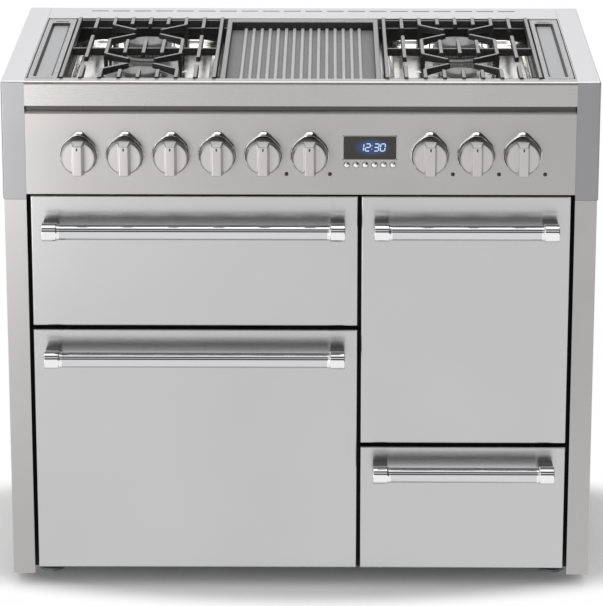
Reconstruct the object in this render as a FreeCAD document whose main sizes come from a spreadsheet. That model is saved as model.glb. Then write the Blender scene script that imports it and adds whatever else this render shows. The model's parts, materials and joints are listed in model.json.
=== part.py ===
import FreeCAD, Part
import math
import operator
import os

import Sketcher

# A free-standing range cooker, in millimetres. X runs to the right, Y to the back and Z up.
# The origin is on the floor, in the middle of the cooker's outline seen from above, handles included.

Vector = FreeCAD.Vector
Rotation = FreeCAD.Rotation
Placement = FreeCAD.Placement

document = FreeCAD.newDocument("range_cooker")
nodes = []

# ---------------------------------------------------------------------------------------------
# Driving dimensions
# ---------------------------------------------------------------------------------------------

DIMENSIONS = (
    # The whole cooker
    ("overall_width", 1000, "over the two side trims"),
    ("body_depth", 600, "control panel face to the back edge"),
    ("hob_height", 900, "floor to the hob surface with the feet screwed in"),
    ("foot_height", 25, "floor to the lower edge of the side panels"),
    ("handle_reach", 58, "door face to the front of a handle"),
    ("sheet", 1.5, "thickness of the folded steel sheet"),
    ("running_gap", 0.5, "clearance round a piece that moves"),
    # Sides
    ("trim_width", 39, "width of a side trim seen from the front"),
    ("trim_height", 203, "height of a side trim"),
    ("trim_rounding", 3, "outer rounding of a side trim"),
    ("side_step", 2, "side panel set in from the side trim"),
    ("side_fold", 37, "front fold of a side panel"),
    ("rear_fold", 20, "rear fold of a side panel"),
    ("back_recess", 20, "back panel set in from the rear edge"),
    # Front bands, from the hob surface down
    ("rail_height", 42, "hob front rail"),
    ("rail_lip", 20, "flat top of the hob front rail"),
    ("rail_rounding", 7, "upper front rounding of the rail"),
    ("rail_return", 10, "lower fold of the rail"),
    ("rail_gap", 9, "shadow gap under the rail"),
    ("panel_height", 143, "control panel"),
    ("panel_bevel", 5, "sloped upper edge of the control panel"),
    ("panel_fold", 6, "folds of the control panel, behind the line of the door backs"),
    ("panel_gap", 3, "gap between the control panel and the doors"),
    # Doors and drawer
    ("door_foot_gap", 11, "side panel edge up to the door edge"),
    ("door_side_gap", 6.5, "side panel to door"),
    ("centre_gap", 6, "between left and right doors"),
    ("door_gap", 7, "between a door and what is below it"),
    ("left_door_width", 551, "both left doors"),
    ("grill_door_height", 228, "upper left door"),
    ("drawer_front_height", 222, "drawer front"),
    ("door_thickness", 34, "face to the back of the inner panel"),
    ("door_rounding", 2.5, "front edges of a door"),
    ("seal_depth", 4, "door seal, front to back"),
    ("seal_width", 8, "door seal seen from the front"),
    ("seal_inset", 6, "oven mouth to door seal"),
    # Hinges
    ("hinge_setback", 10, "door face to the hinge axis"),
    ("hinge_rise", 7, "lower door edge to the hinge axis"),
    ("hinge_inset", 55, "door side edge to the hinge bracket"),
    ("bracket_width", 6, "hinge bracket plate"),
    ("bracket_height", 8, "hinge bracket plate, up and down"),
    ("pin_radius", 3, "hinge pin"),
    ("pin_overhang", 5, "hinge pin beyond the bracket on each side"),
    ("pin_clearance", 0.08, "running clearance round a hinge pin"),
    ("ear_width", 3, "plate of the inner panel that turns on the pin"),
    ("ear_reach", 5, "ear round the pin"),
    # Handles
    ("bar_radius", 13, "handle tube"),
    ("cap_radius", 15.5, "handle end piece"),
    ("cap_length", 30, "handle end piece along the bar"),
    ("cap_step", 5, "narrow ring at the inner side of an end piece"),
    ("post_height", 20, "post between end piece and door"),
    ("handle_inset", 21.5, "door side edge to the handle end"),
    ("upper_handle_drop", 52, "upper edge to handle axis, grill and tall doors"),
    ("lower_handle_drop", 41, "upper edge to handle axis, main oven door"),
    ("drawer_handle_drop", 36, "upper edge to handle axis, drawer"),
    # Knobs and bezels
    ("knob_margin", 89.7, "side trim to the outermost knob axis on each side"),
    ("clock_space", 201.5, "between the two knobs beside the clock"),
    ("knob_drop", 126, "hob surface to the knob axes"),
    ("bezel_radius", 33, "round part of a bezel"),
    ("bezel_tip_radius", 15, "pointed part of a bezel"),
    ("bezel_tip_rise", 26, "knob axis to the centre of the pointed part"),
    ("bezel_depth", 6, "bezel, front to back"),
    ("bezel_rounding", 2.5, "front edge of a bezel"),
    ("bezel_recess", 2, "round recess in the front of a bezel"),
    ("disc_radius", 29, "knob disc"),
    ("disc_depth", 20, "knob disc, front to back"),
    ("disc_chamfer", 3, "front edge of the knob disc"),
    ("grip_depth", 23, "knob grip in front of its disc"),
    ("grip_width", 23, "knob grip at the disc"),
    ("grip_length", 58, "knob grip at the disc, up and down"),
    ("grip_taper", 9, "slope of the grip sides in degrees"),
    ("grip_rounding", 2, "edges of the grip"),
    ("shaft_radius", 3, "knob shaft"),
    ("shaft_length", 34, "knob shaft behind the disc"),
    ("shaft_clearance", 0.5, "round a knob shaft"),
    # Clock
    ("clock_drop", 113, "hob surface to the middle of the clock glass"),
    ("clock_width", 91, "clock glass"),
    ("clock_height", 42.5, "clock glass"),
    ("clock_rounding", 4, "corners of the clock glass"),
    ("clock_proud", 1.5, "clock glass in front of the control panel"),
    ("clock_depth", 16, "clock behind the control panel face"),
    ("button_drop", 142.5, "hob surface to the clock buttons"),
    ("button_pitch", 15.5, "between clock buttons"),
    ("button_radius", 5, "clock button"),
    ("button_proud", 4, "clock button in front of the control panel"),
    ("button_depth", 8, "clock button behind the control panel face"),
    ("button_dome", 1.5, "rounding of a clock button"),
    ("lamp_drop", 158.5, "hob surface to the indicator lamps"),
    ("lamp_offset", 38.5, "knob axis to its indicator lamp"),
    ("near_lamp_offset", 34, "the same beside the clock"),
    ("lamp_radius", 3.5, "indicator lamp"),
    ("lamp_proud", 1, "indicator lamp in front of the control panel"),
    ("lamp_depth", 10, "indicator lamp behind the control panel face"),
    # Gas rail, taps and switches
    ("tap_setback", 14, "control panel face to the taps"),
    ("tap_depth", 36, "tap, front to back"),
    ("tap_width", 30, "tap"),
    ("rail_radius", 8, "gas rail"),
    ("rail_drop", 24, "knob axes down to the gas rail"),
    ("rail_setback", 58, "control panel face to the gas rail"),
    ("inlet_radius", 10.5, "threaded gas inlet"),
    ("inlet_length", 16, "threaded gas inlet"),
    ("inlet_offset", 430, "centre line to the gas inlet"),
    # Hob
    ("recess_depth", 42, "hob surface down to the floor of the hob"),
    ("rear_ledge", 92, "flat strip behind the hob recess"),
    ("field_gap", 3, "between neighbouring pan supports and trays"),
    ("griddle_gap", 6, "between the griddle and a pan support"),
    ("recess_gap", 1.5, "between the recess wall and what lies in it"),
    ("griddle_width", 270, "griddle plate"),
    ("support_proud", 3, "pan support above the hob surface"),
    ("support_bar", 8, "width of a pan support bar"),
    ("support_bar_depth", 13, "height of a pan support bar"),
    ("support_bar_drop", 4, "cross bars below the finger tops"),
    ("finger_clearance", 65, "burner axis to the ends of the middle fingers, front to back"),
    ("elbow_clearance", 60, "burner axis to the elbows, front to back"),
    ("elbow_tip", 18, "burner axis to the elbow tips, front to back"),
    ("border_clearance", 30, "burner axis to the ends of the outer fingers"),
    ("burner_spread", 118, "pan support middle to a burner axis"),
    ("burner_hole", 27, "radius of a burner hole in the hob"),
    ("burner_cup_radius", 25, "burner cup under the hob"),
    ("burner_cup_depth", 30, "burner cup below the hob floor"),
    ("flange_height", 4, "burner flange"),
    ("crown_height", 16, "burner crown"),
    ("cap_height", 9, "burner cap"),
    ("small_burner", 26, "cap radius, front right"),
    ("medium_burner", 35, "cap radius, rear left"),
    ("large_burner", 38, "cap radius, rear right"),
    ("double_burner", 31, "inner cap radius, front left"),
    ("double_ring", 65.5, "outer ring radius, front left"),
    ("double_ring_width", 22, "outer ring, in to out, front left"),
    ("crown_overhang", 4, "crown beyond the cap"),
    ("flange_overhang", 10, "flange beyond the crown"),
    ("cap_rounding", 3, "upper edge of a burner cap"),
    ("griddle_floor", 16, "griddle floor below the hob surface"),
    ("griddle_plate", 8, "thickness of the griddle floor"),
    ("griddle_wall", 9, "side walls of the griddle"),
    ("griddle_rear_wall", 26, "rear wall and ledge of the griddle"),
    ("griddle_front", 6, "flat in front of the ribs"),
    ("rib_pitch", 14.5, "between griddle ribs"),
    ("rib_width", 6, "griddle rib"),
    ("rib_height", 4, "griddle rib"),
    ("rib_count", 15, "griddle ribs"),
    ("tray_width", 49.5, "side tray"),
    ("tray_rim", 6, "rim of a side tray"),
    ("tray_recess", 8, "recess of a side tray"),
    ("tray_plate", 6, "thickness of a side tray under its recess"),
    ("tray_end", 24, "tray end to its recess"),
    ("lift_gap", 0.4, "lift-off pieces above the hob floor"),
    ("vent_setback", 28, "rear edge to the row of vent slots"),
    ("vent_pitch", 39, "between vent slots"),
    ("vent_length", 32, "vent slot, left to right"),
    ("vent_width", 6, "vent slot, front to back"),
    ("vent_margin", 50, "side edge of the hob to the first vent slot"),
    # Ovens
    ("frame_gap", 0.5, "door back to the door seal"),
    ("oven_side_margin", 45, "door side edge to oven mouth"),
    ("oven_lower_margin", 42, "lower door edge to oven mouth"),
    ("oven_upper_margin", 35, "upper door edge to oven mouth"),
    ("service_depth", 120, "oven rear wall to the back panel"),
    ("fan_chamber_width", 210, "fan chamber behind the main oven"),
    ("fan_chamber_depth", 46, "fan chamber, front to back"),
    ("fan_radius", 76, "convection fan"),
    ("fan_depth", 20, "convection fan blades, front to back"),
    ("fan_gap", 8, "fan disc to the rear wall of its chamber"),
    ("fan_hub", 9, "radius of the fan hub"),
    ("blade_count", 8, "fan blades"),
    ("blade_start", 30, "fan axis to the inner ends of the blades"),
    ("blade_margin", 4, "outer ends of the blades to the disc edge"),
    ("fan_grille_radius", 62, "round air grille in the rear wall"),
    ("air_hole_radius", 7, "holes of the air grille"),
    ("motor_radius", 32, "fan motor"),
    ("motor_length", 40, "fan motor"),
    ("motor_plate_width", 84, "mounting plate of the fan motor"),
    ("motor_plate_height", 24, "mounting plate of the fan motor"),
    ("rack_depth", 8, "wire side rack from the oven wall"),
    ("rack_wire", 3, "radius of a rack wire and of a shelf's border"),
    ("rack_post", 3.5, "radius of an upright of a side rack"),
    ("rack_rise", 61, "oven floor to the lowest shelf level"),
    ("rack_pitch", 75, "between shelf levels"),
    ("rack_margin", 34, "oven floor and ceiling to the ends of the uprights"),
    ("shelf_wire", 2.5, "radius of a shelf wire"),
    ("shelf_pitch", 28, "between shelf wires"),
    ("element_radius", 4, "heating element tube"),
    ("element_gap", 12, "oven wall to heating element"),
    ("grill_element_inset", 40, "grill mouth to its element"),
    ("main_element_inset", 60, "main oven mouth to its element"),
    ("tall_element_inset", 50, "tall oven mouth to its elements"),
    ("griddle_element_inset", 45, "griddle edge to the element under it"),
    ("griddle_element_rise", 10, "hob floor to the element under the griddle"),
    # Drawer
    ("drawer_side_margin", 20, "drawer front edge to drawer box"),
    ("drawer_rise", 16, "drawer front edge up to the box floor"),
    ("drawer_box_height", 135, "drawer box"),
    ("drawer_back_gap", 106, "drawer box to the back panel"),
    ("slide_rise", 28, "drawer box floor up to the slider strip"),
    ("slide_height", 14, "slider strip on the drawer box"),
    ("slide_depth", 6, "slider strip, out from the drawer box"),
    ("slide_clearance", 1, "round the slider strip"),
    # Base
    ("base_rise", 2, "base tray above the side panel edge"),
    ("base_wall", 18, "folded edge of the base tray"),
    ("base_setback", 50, "door face to the front of the base tray"),
    ("foot_radius", 22, "foot pad"),
    ("foot_pad", 9, "height of a foot pad"),
    ("foot_collar", 9.5, "radius of the top of a foot pad"),
    ("foot_stem", 6, "radius of a foot stem"),
    ("foot_stem_length", 36, "foot stem above its pad"),
    ("foot_inset", 60, "overall edge to foot axis, sideways"),
    ("foot_setback", 95, "front and rear edge to foot axis"),
)

sheet = document.addObject("Spreadsheet::Sheet", "Sizes")
for row, (alias, number, note) in enumerate(DIMENSIONS, start=1):
    sheet.set("A%d" % row, alias.replace("_", " "))
    sheet.set("B%d" % row, str(number))
    sheet.setAlias("B%d" % row, alias)
    sheet.set("C%d" % row, note)
document.recompute()


class Size:
    """A length that carries both its number and the formula which the document keeps for it."""

    def __init__(self, formula, number):
        self.formula = formula
        self.number = float(number)

    def __add__(self, other):
        return combined(self, "+", other)

    def __radd__(self, other):
        return combined(other, "+", self)

    def __sub__(self, other):
        return combined(self, "-", other)

    def __rsub__(self, other):
        return combined(other, "-", self)

    def __mul__(self, other):
        return combined(self, "*", other)

    def __rmul__(self, other):
        return combined(other, "*", self)

    def __truediv__(self, other):
        return combined(self, "/", other)

    def __neg__(self):
        return combined(0, "-", self)

    def __float__(self):
        return self.number


OPERATORS = {"+": operator.add, "-": operator.sub, "*": operator.mul, "/": operator.truediv}


def as_size(length):
    if isinstance(length, Size):
        return length
    return Size("(%s)" % length, length)


def combined(left, sign, right):
    left = as_size(left)
    right = as_size(right)
    number = OPERATORS[sign](left.number, right.number)
    return Size("(%s %s %s)" % (left.formula, sign, right.formula), number)


def size(alias):
    return Size("Sizes." + alias, sheet.get(alias))


def bind(owner, name, length):
    """Ties one property of a document object to a formula of driving dimensions."""
    owner.setExpression(name, as_size(length).formula)


# ---------------------------------------------------------------------------------------------
# Small makers for blocks, rods and folded pieces
# ---------------------------------------------------------------------------------------------

TURN_TO = {
    "x": Rotation(Vector(0, 1, 0), 90),
    "y": Rotation(Vector(1, 0, 0), -90),
    "z": Rotation(),
}


def block(name, x, y, z):
    """A block between two corners. Each of x, y and z is a (low, high) pair."""
    made = document.addObject("Part::Box", name)
    for prop, axis, (low, high) in zip(("Length", "Width", "Height"), "xyz", (x, y, z)):
        bind(made, prop, as_size(high) - low)
        bind(made, "Placement.Base." + axis, low)
    return made


def rod(name, radius, x, y, z):
    """A round rod. The axis is the one of x, y and z that is a (low, high) pair."""
    made = document.addObject("Part::Cylinder", name)
    bind(made, "Radius", radius)
    for axis, place in zip("xyz", (x, y, z)):
        if isinstance(place, tuple):
            made.Placement = Placement(Vector(), TURN_TO[axis])
            bind(made, "Height", as_size(place[1]) - place[0])
    for axis, place in zip("xyz", (x, y, z)):
        bind(made, "Placement.Base." + axis, place[0] if isinstance(place, tuple) else place)
    return made


def fuse(name, *pieces):
    made = document.addObject("Part::MultiFuse", name)
    made.Shapes = list(pieces)
    return made


def cut(name, base, *tools):
    made = document.addObject("Part::Cut", name)
    made.Base = base
    made.Tool = tools[0] if len(tools) == 1 else fuse(name + "_cutters", *tools)
    return made


def group(name, *pieces):
    made = document.addObject("Part::Compound", name)
    made.Links = list(pieces)
    return made


def node(name, made):
    """Marks a document object as one finished sub-part of the cooker."""
    made.Label = name
    nodes.append(made)
    return made


def new_body(name):
    return document.addObject("PartDesign::Body", name + "_body")


def origin_plane(body, role):
    return next(plane for plane in body.Origin.OriginFeatures if plane.Role == role)


def new_sketch(body, name, role, offset=None):
    """A sketch on one of the body's own origin planes, moved along its normal by offset."""
    sketch = body.newObject("Sketcher::SketchObject", name)
    sketch.AttachmentSupport = (origin_plane(body, role), [""])
    sketch.MapMode = "FlatFace"
    if offset is not None:
        bind(sketch, "AttachmentOffset.Base.z", offset)
    return sketch


def outline(sketch, points):
    """A closed outline of straight lines. Each point is a pair of lengths, none of them negative."""
    places = [Vector(float(across), float(up), 0) for across, up in points]
    first = sketch.GeometryCount
    count = len(places)
    for index in range(count):
        sketch.addGeometry(Part.LineSegment(places[index], places[(index + 1) % count]), False)
    for index in range(count):
        following = first + (index + 1) % count
        sketch.addConstraint(Sketcher.Constraint("Coincident", first + index, 2, following, 1))
    for index, point in enumerate(points):
        for kind, length, axis in (("DistanceX", point[0], -2), ("DistanceY", point[1], -1)):
            if float(length) == 0:
                sketch.addConstraint(Sketcher.Constraint("PointOnObject", first + index, 1, axis))
            else:
                rule = Sketcher.Constraint(kind, -1, 1, first + index, 1, float(length))
                number = sketch.addConstraint(rule)
                bind(sketch, "Constraints[%d]" % number, length)


def rectangle(sketch, x_low, x_high, y_low, y_high):
    outline(sketch, ((x_low, y_low), (x_high, y_low), (x_high, y_high), (x_low, y_high)))


def centred_rectangle(sketch, width, height):
    half_width = float(width) / 2
    half_height = float(height) / 2
    corners = [
        Vector(-half_width, -half_height, 0),
        Vector(half_width, -half_height, 0),
        Vector(half_width, half_height, 0),
        Vector(-half_width, half_height, 0),
    ]
    for index in range(4):
        sketch.addGeometry(Part.LineSegment(corners[index], corners[(index + 1) % 4]), False)
    for index in range(4):
        sketch.addConstraint(Sketcher.Constraint("Coincident", index, 2, (index + 1) % 4, 1))
    sketch.addConstraint(Sketcher.Constraint("Horizontal", 0))
    sketch.addConstraint(Sketcher.Constraint("Vertical", 1))
    sketch.addConstraint(Sketcher.Constraint("Horizontal", 2))
    sketch.addConstraint(Sketcher.Constraint("Vertical", 3))
    sketch.addConstraint(Sketcher.Constraint("Symmetric", 0, 1, 2, 1, -1, 1))
    across = sketch.addConstraint(Sketcher.Constraint("DistanceX", 0, 1, 0, 2, float(width)))
    up = sketch.addConstraint(Sketcher.Constraint("DistanceY", 1, 1, 1, 2, float(height)))
    bind(sketch, "Constraints[%d]" % across, width)
    bind(sketch, "Constraints[%d]" % up, height)


def pad(body, name, sketch, length, reverse=False):
    made = body.newObject("PartDesign::Pad", name)
    made.Profile = sketch
    made.Reversed = reverse
    bind(made, "Length", length)
    return made


def pocket(body, name, sketch, length, reverse=False):
    """A pocket, checked so that it really takes material away."""
    document.recompute()
    before = body.Shape.Volume
    made = body.newObject("PartDesign::Pocket", name)
    made.Profile = sketch
    made.Reversed = reverse
    bind(made, "Length", length)
    document.recompute()
    if not body.Shape.Volume < before:
        raise ValueError(name + " cuts nothing")
    return made


def revolve(body, name, sketch):
    made = body.newObject("PartDesign::Revolution", name)
    made.Profile = sketch
    made.ReferenceAxis = (sketch, ["V_Axis"])
    made.Angle = 360
    return made


def round_edges(body, name, radius, wanted):
    """Rounds those edges of the body for which wanted(edge) holds."""
    document.recompute()
    tip = body.Tip
    names = ["Edge%d" % number for number, edge in enumerate(tip.Shape.Edges, start=1) if wanted(edge)]
    if not names:
        raise ValueError(name + " finds no edge")
    made = body.newObject("PartDesign::Fillet", name)
    made.Base = (tip, names)
    bind(made, "Radius", radius)
    return made


def place(made, x, y, z):
    for axis, length in zip("xyz", (x, y, z)):
        bind(made, "Placement.Base." + axis, length)
    return made


def near(first, second):
    return abs(first - second) < 1e-4


# ---------------------------------------------------------------------------------------------
# Places that several pieces share
# ---------------------------------------------------------------------------------------------

SHEET = size("sheet")
GAP = size("running_gap")
HALF = size("overall_width") / 2
FRONT = (size("handle_reach") - size("body_depth")) / 2
REAR = (size("handle_reach") + size("body_depth")) / 2
TOP = size("hob_height")
SIDE_EDGE = size("foot_height")
TRIM_INSIDE = HALF - size("trim_width")
SIDE_OUTSIDE = HALF - size("side_step")
RAIL_BOTTOM = TOP - size("rail_height")
PANEL_TOP = RAIL_BOTTOM - size("rail_gap")
PANEL_BOTTOM = PANEL_TOP - size("panel_height")
DOOR_TOP = PANEL_BOTTOM - size("panel_gap")
DOOR_BOTTOM = SIDE_EDGE + size("door_foot_gap")
LEFT_DOOR = (
    size("door_side_gap") - TRIM_INSIDE,
    size("door_side_gap") - TRIM_INSIDE + size("left_door_width"),
)
RIGHT_DOOR = (LEFT_DOOR[1] + size("centre_gap"), TRIM_INSIDE - size("door_side_gap"))
GRILL_DOOR_BOTTOM = DOOR_TOP - size("grill_door_height")
MAIN_DOOR_TOP = GRILL_DOOR_BOTTOM - size("door_gap")
DRAWER_TOP = DOOR_BOTTOM + size("drawer_front_height")
TALL_DOOR_BOTTOM = DRAWER_TOP + size("door_gap")
DOOR_BACK = FRONT + size("door_thickness")
SEAL_FRONT = DOOR_BACK + size("frame_gap")
FRAME_FRONT = SEAL_FRONT + size("seal_depth")
FRAME_BACK = FRAME_FRONT + SHEET
BACK_PANEL = REAR - size("back_recess")
HOB_FLOOR = TOP - size("recess_depth")
HOB_FRONT = FRONT + size("rail_lip") + GAP
RECESS_FRONT = HOB_FRONT + SHEET
RECESS_BACK = REAR - size("rear_ledge")
RECESS_HALF = TRIM_INSIDE - GAP - SHEET
KNOB_AXIS = TOP - size("knob_drop")

OUTER_KNOB = TRIM_INSIDE - size("knob_margin")
KNOB_PITCH = (OUTER_KNOB * 2 - size("clock_space")) / 7
LEFT_KNOBS = [KNOB_PITCH * step - OUTER_KNOB for step in range(6)]
RIGHT_KNOBS = [OUTER_KNOB - KNOB_PITCH * step for step in (2, 1, 0)]
KNOBS = LEFT_KNOBS + RIGHT_KNOBS
CLOCK_MIDDLE = (LEFT_KNOBS[5] + RIGHT_KNOBS[0]) / 2


# ---------------------------------------------------------------------------------------------
# Outer casing
# ---------------------------------------------------------------------------------------------

def side_trim(name, side):
    """Upper corner trim: a rounded top, front and outer side folded from one sheet."""
    body = new_body(name)
    width = size("trim_width")
    height = size("trim_height")
    depth = size("body_depth")
    face = new_sketch(body, name + "_face", "XZ_Plane")
    rectangle(face, 0, width, 0, height)
    pad(body, name + "_pad", face, depth, reverse=True)
    outer = 0 if side < 0 else float(width)

    def is_outer_edge(edge):
        box = edge.BoundBox
        at_front = near(box.YMax, 0)
        at_outside = near(box.XMin, outer) and near(box.XMax, outer)
        at_top = near(box.ZMin, float(height))
        return (at_front and (at_outside or at_top)) or (at_outside and at_top)

    round_edges(body, name + "_rounding", size("trim_rounding"), is_outer_edge)
    inside = new_sketch(body, name + "_inside", "XZ_Plane", offset=-SHEET)
    if side < 0:
        rectangle(inside, SHEET, width, 0, height - SHEET)
    else:
        rectangle(inside, 0, width - SHEET, 0, height - SHEET)
    pocket(body, name + "_hollow", inside, depth)
    left_edge = -HALF if side < 0 else TRIM_INSIDE
    place(body, left_edge, FRONT, TOP - height)
    node(name, body)


def side_panel(name, side):
    """Side panel: an outer sheet with a front fold beside the doors and a fold along the back."""
    outer = (-SIDE_OUTSIDE, SHEET - SIDE_OUTSIDE) if side < 0 else (SIDE_OUTSIDE - SHEET, SIDE_OUTSIDE)
    fold_end = size("side_fold") - SIDE_OUTSIDE if side < 0 else SIDE_OUTSIDE - size("side_fold")
    rear_end = size("rear_fold") - SIDE_OUTSIDE if side < 0 else SIDE_OUTSIDE - size("rear_fold")
    fold = (outer[0], fold_end) if side < 0 else (fold_end, outer[1])
    rear = (outer[0], rear_end) if side < 0 else (rear_end, outer[1])
    panel_top = TOP - SHEET * 3
    trim_bottom = TOP - size("trim_height") - GAP
    plate = block(name + "_plate", outer, (FRONT + SHEET * 2, REAR), (SIDE_EDGE, panel_top))
    lower = block(name + "_lower", outer, (FRONT, FRONT + SHEET * 2), (SIDE_EDGE, trim_bottom))
    front = block(name + "_front", fold, (FRONT, FRONT + SHEET), (SIDE_EDGE, trim_bottom))
    back = block(name + "_back", rear, (BACK_PANEL + SHEET, BACK_PANEL + SHEET * 2), (SIDE_EDGE, panel_top))
    node(name, fuse(name, plate, lower, front, back))


def hob_front_rail():
    """Rounded front rail of the hob, folded in under its lower edge."""
    name = "hob_front_rail"
    body = new_body(name)
    height = size("rail_height")
    section = new_sketch(body, name + "_section", "YZ_Plane")
    outline(section, (
        (0, 0),
        (size("rail_return"), 0),
        (size("rail_return"), SHEET),
        (SHEET, SHEET),
        (SHEET, height - SHEET),
        (size("rail_lip"), height - SHEET),
        (size("rail_lip"), height),
        (0, height),
    ))
    pad(body, name + "_pad", section, TRIM_INSIDE * 2)

    def is_upper_corner(inward):
        def chosen(edge):
            box = edge.BoundBox
            at_height = near(box.ZMin, float(height) - inward) and near(box.ZMax, float(height) - inward)
            return at_height and near(box.YMin, inward) and near(box.YMax, inward)
        return chosen

    round_edges(body, name + "_outer", size("rail_rounding"), is_upper_corner(0))
    round_edges(body, name + "_inner", size("rail_rounding") - SHEET, is_upper_corner(float(SHEET)))
    place(body, -TRIM_INSIDE, FRONT, RAIL_BOTTOM)
    node(name, body)


def control_panel():
    """Control panel: folded at both long edges, with a sloped upper edge and its holes."""
    name = "control_panel"
    body = new_body(name)
    height = size("panel_height")
    bevel = size("panel_bevel")
    inner_bevel = bevel + SHEET * (math.sqrt(2) - 1)
    fold = size("door_thickness") + size("panel_fold")
    section = new_sketch(body, name + "_section", "YZ_Plane")
    outline(section, (
        (0, 0),
        (fold, 0),
        (fold, SHEET),
        (SHEET, SHEET),
        (SHEET, height - inner_bevel),
        (inner_bevel, height - SHEET),
        (fold, height - SHEET),
        (fold, height),
        (bevel, height),
        (0, height - bevel),
    ))
    pad(body, name + "_pad", section, TRIM_INSIDE * 2 - GAP)
    place(body, GAP / 2 - TRIM_INSIDE, FRONT, PANEL_BOTTOM)
    through = (FRONT - SHEET, FRONT + SHEET * 2)
    holes = []
    for number, x in enumerate(KNOBS, start=1):
        radius = size("shaft_radius") + size("shaft_clearance") * 2
        holes.append(rod("shaft_hole_%d" % number, radius, x, through, KNOB_AXIS))
    for number, x in enumerate(BUTTONS, start=1):
        holes.append(rod("button_hole_%d" % number, size("button_radius") + GAP, x, through, BUTTON_AXIS))
    for number, x in enumerate(LAMPS, start=1):
        holes.append(rod("lamp_hole_%d" % number, size("lamp_radius"), x, through, LAMP_AXIS))
    holes.append(block("clock_hole", CLOCK_X, through, CLOCK_Z))
    node(name, cut(name, body, *holes))


def back_panel():
    """Rear sheet between the folds of the side panels, with a hole for the gas inlet."""
    half_width = SIDE_OUTSIDE - SHEET * 1.5
    plate = block(
        "back_plate",
        (-half_width, half_width),
        (BACK_PANEL, BACK_PANEL + SHEET),
        (SIDE_EDGE + size("base_rise") + size("base_wall"), HOB_FLOOR - SHEET * 2),
    )
    hole = rod(
        "inlet_hole",
        size("rail_radius") + GAP,
        size("inlet_offset"),
        (BACK_PANEL - SHEET, BACK_PANEL + SHEET * 2),
        GAS_RAIL_Z,
    )
    node("back_panel", cut("back_panel", plate, hole))


def base_tray():
    """Shallow folded tray that closes the underside and carries the feet."""
    half_width = SIDE_OUTSIDE - SHEET * 1.5
    low = SIDE_EDGE + size("base_rise")
    front = FRONT + size("base_setback")
    high = low + size("base_wall")
    outer = block("base_block", (-half_width, half_width), (front, BACK_PANEL + SHEET), (low, high))
    inner = block(
        "base_hollow",
        (SHEET - half_width, half_width - SHEET),
        (front + SHEET, BACK_PANEL),
        (low + SHEET, high + SHEET),
    )
    holes = [
        rod("stem_hole_%d" % number, size("foot_stem"), x, y, (low - SHEET, low + SHEET * 2))
        for number, (x, y) in enumerate(FEET, start=1)
    ]
    node("base_tray", cut("base_tray", outer, inner, *holes))


def feet():
    """Four levelling feet: a round pad on a threaded stem."""
    body = new_body("foot")
    profile = new_sketch(body, "foot_profile", "XZ_Plane")
    outline(profile, (
        (0, 0),
        (size("foot_radius"), 0),
        (size("foot_radius"), size("foot_pad") / 2),
        (size("foot_collar"), size("foot_pad")),
        (size("foot_stem"), size("foot_pad")),
        (size("foot_stem"), size("foot_pad") + size("foot_stem_length")),
        (0, size("foot_pad") + size("foot_stem_length")),
    ))
    revolve(body, "foot_turned", profile)
    copies = []
    for number, (x, y) in enumerate(FEET, start=1):
        copy = document.addObject("App::Link", "foot_%d" % number)
        copy.LinkedObject = body
        copies.append(place(copy, x, y, 0))
    node("feet", group("feet", *copies))


FEET = [
    (side * (HALF - size("foot_inset")), y)
    for side in (-1, 1)
    for y in (FRONT + size("foot_setback"), REAR - size("foot_setback"))
]


# ---------------------------------------------------------------------------------------------
# Doors, drawer and handles
# ---------------------------------------------------------------------------------------------

def folded_pan(name, x, z, depth):
    """A sheet front with four folded edges, open at the back, standing at the front plane."""
    body = new_body(name)
    width = x[1] - x[0]
    height = z[1] - z[0]
    face = new_sketch(body, name + "_face", "XZ_Plane")
    rectangle(face, 0, width, 0, height)
    pad(body, name + "_pad", face, depth, reverse=True)
    round_edges(body, name + "_rounding", size("door_rounding"), lambda edge: near(edge.BoundBox.YMax, 0))
    inside = new_sketch(body, name + "_inside", "XZ_Plane", offset=-SHEET)
    rectangle(inside, SHEET, width - SHEET, SHEET, height - SHEET)
    pocket(body, name + "_hollow", inside, depth)
    place(body, x[0], FRONT, z[0])
    return body


def handle(name, x, z_axis):
    """A tube between two larger end pieces, each on a square post that stands on the door face."""
    y_axis = FRONT - size("handle_reach") + size("cap_radius")
    ends = (x[0] + size("handle_inset"), x[1] - size("handle_inset"))
    pieces = [rod(
        name + "_tube",
        size("bar_radius"),
        (ends[0] + size("cap_length"), ends[1] - size("cap_length")),
        y_axis,
        z_axis,
    )]
    for label, outer, inner, step in (
        ("left", ends[0], ends[0] + size("cap_length"), -size("cap_step")),
        ("right", ends[1], ends[1] - size("cap_length"), size("cap_step")),
    ):
        wide = (outer, inner + step) if label == "left" else (inner + step, outer)
        whole = (outer, inner) if label == "left" else (inner, outer)
        ring_radius = (size("cap_radius") + size("bar_radius")) / 2
        cap = rod("%s_%s_cap" % (name, label), size("cap_radius"), wide, y_axis, z_axis)
        ring = rod("%s_%s_ring" % (name, label), ring_radius, whole, y_axis, z_axis)
        post = block(
            "%s_%s_post" % (name, label),
            wide,
            (y_axis, FRONT),
            (z_axis - size("post_height") / 2, z_axis + size("post_height") / 2),
        )
        pieces.append(fuse("%s_%s_end" % (name, label), cap, ring, post))
    node(name, group(name, *pieces))


def hinge_places(x):
    return (x[0] + size("hinge_inset"), x[1] - size("hinge_inset"))


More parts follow.
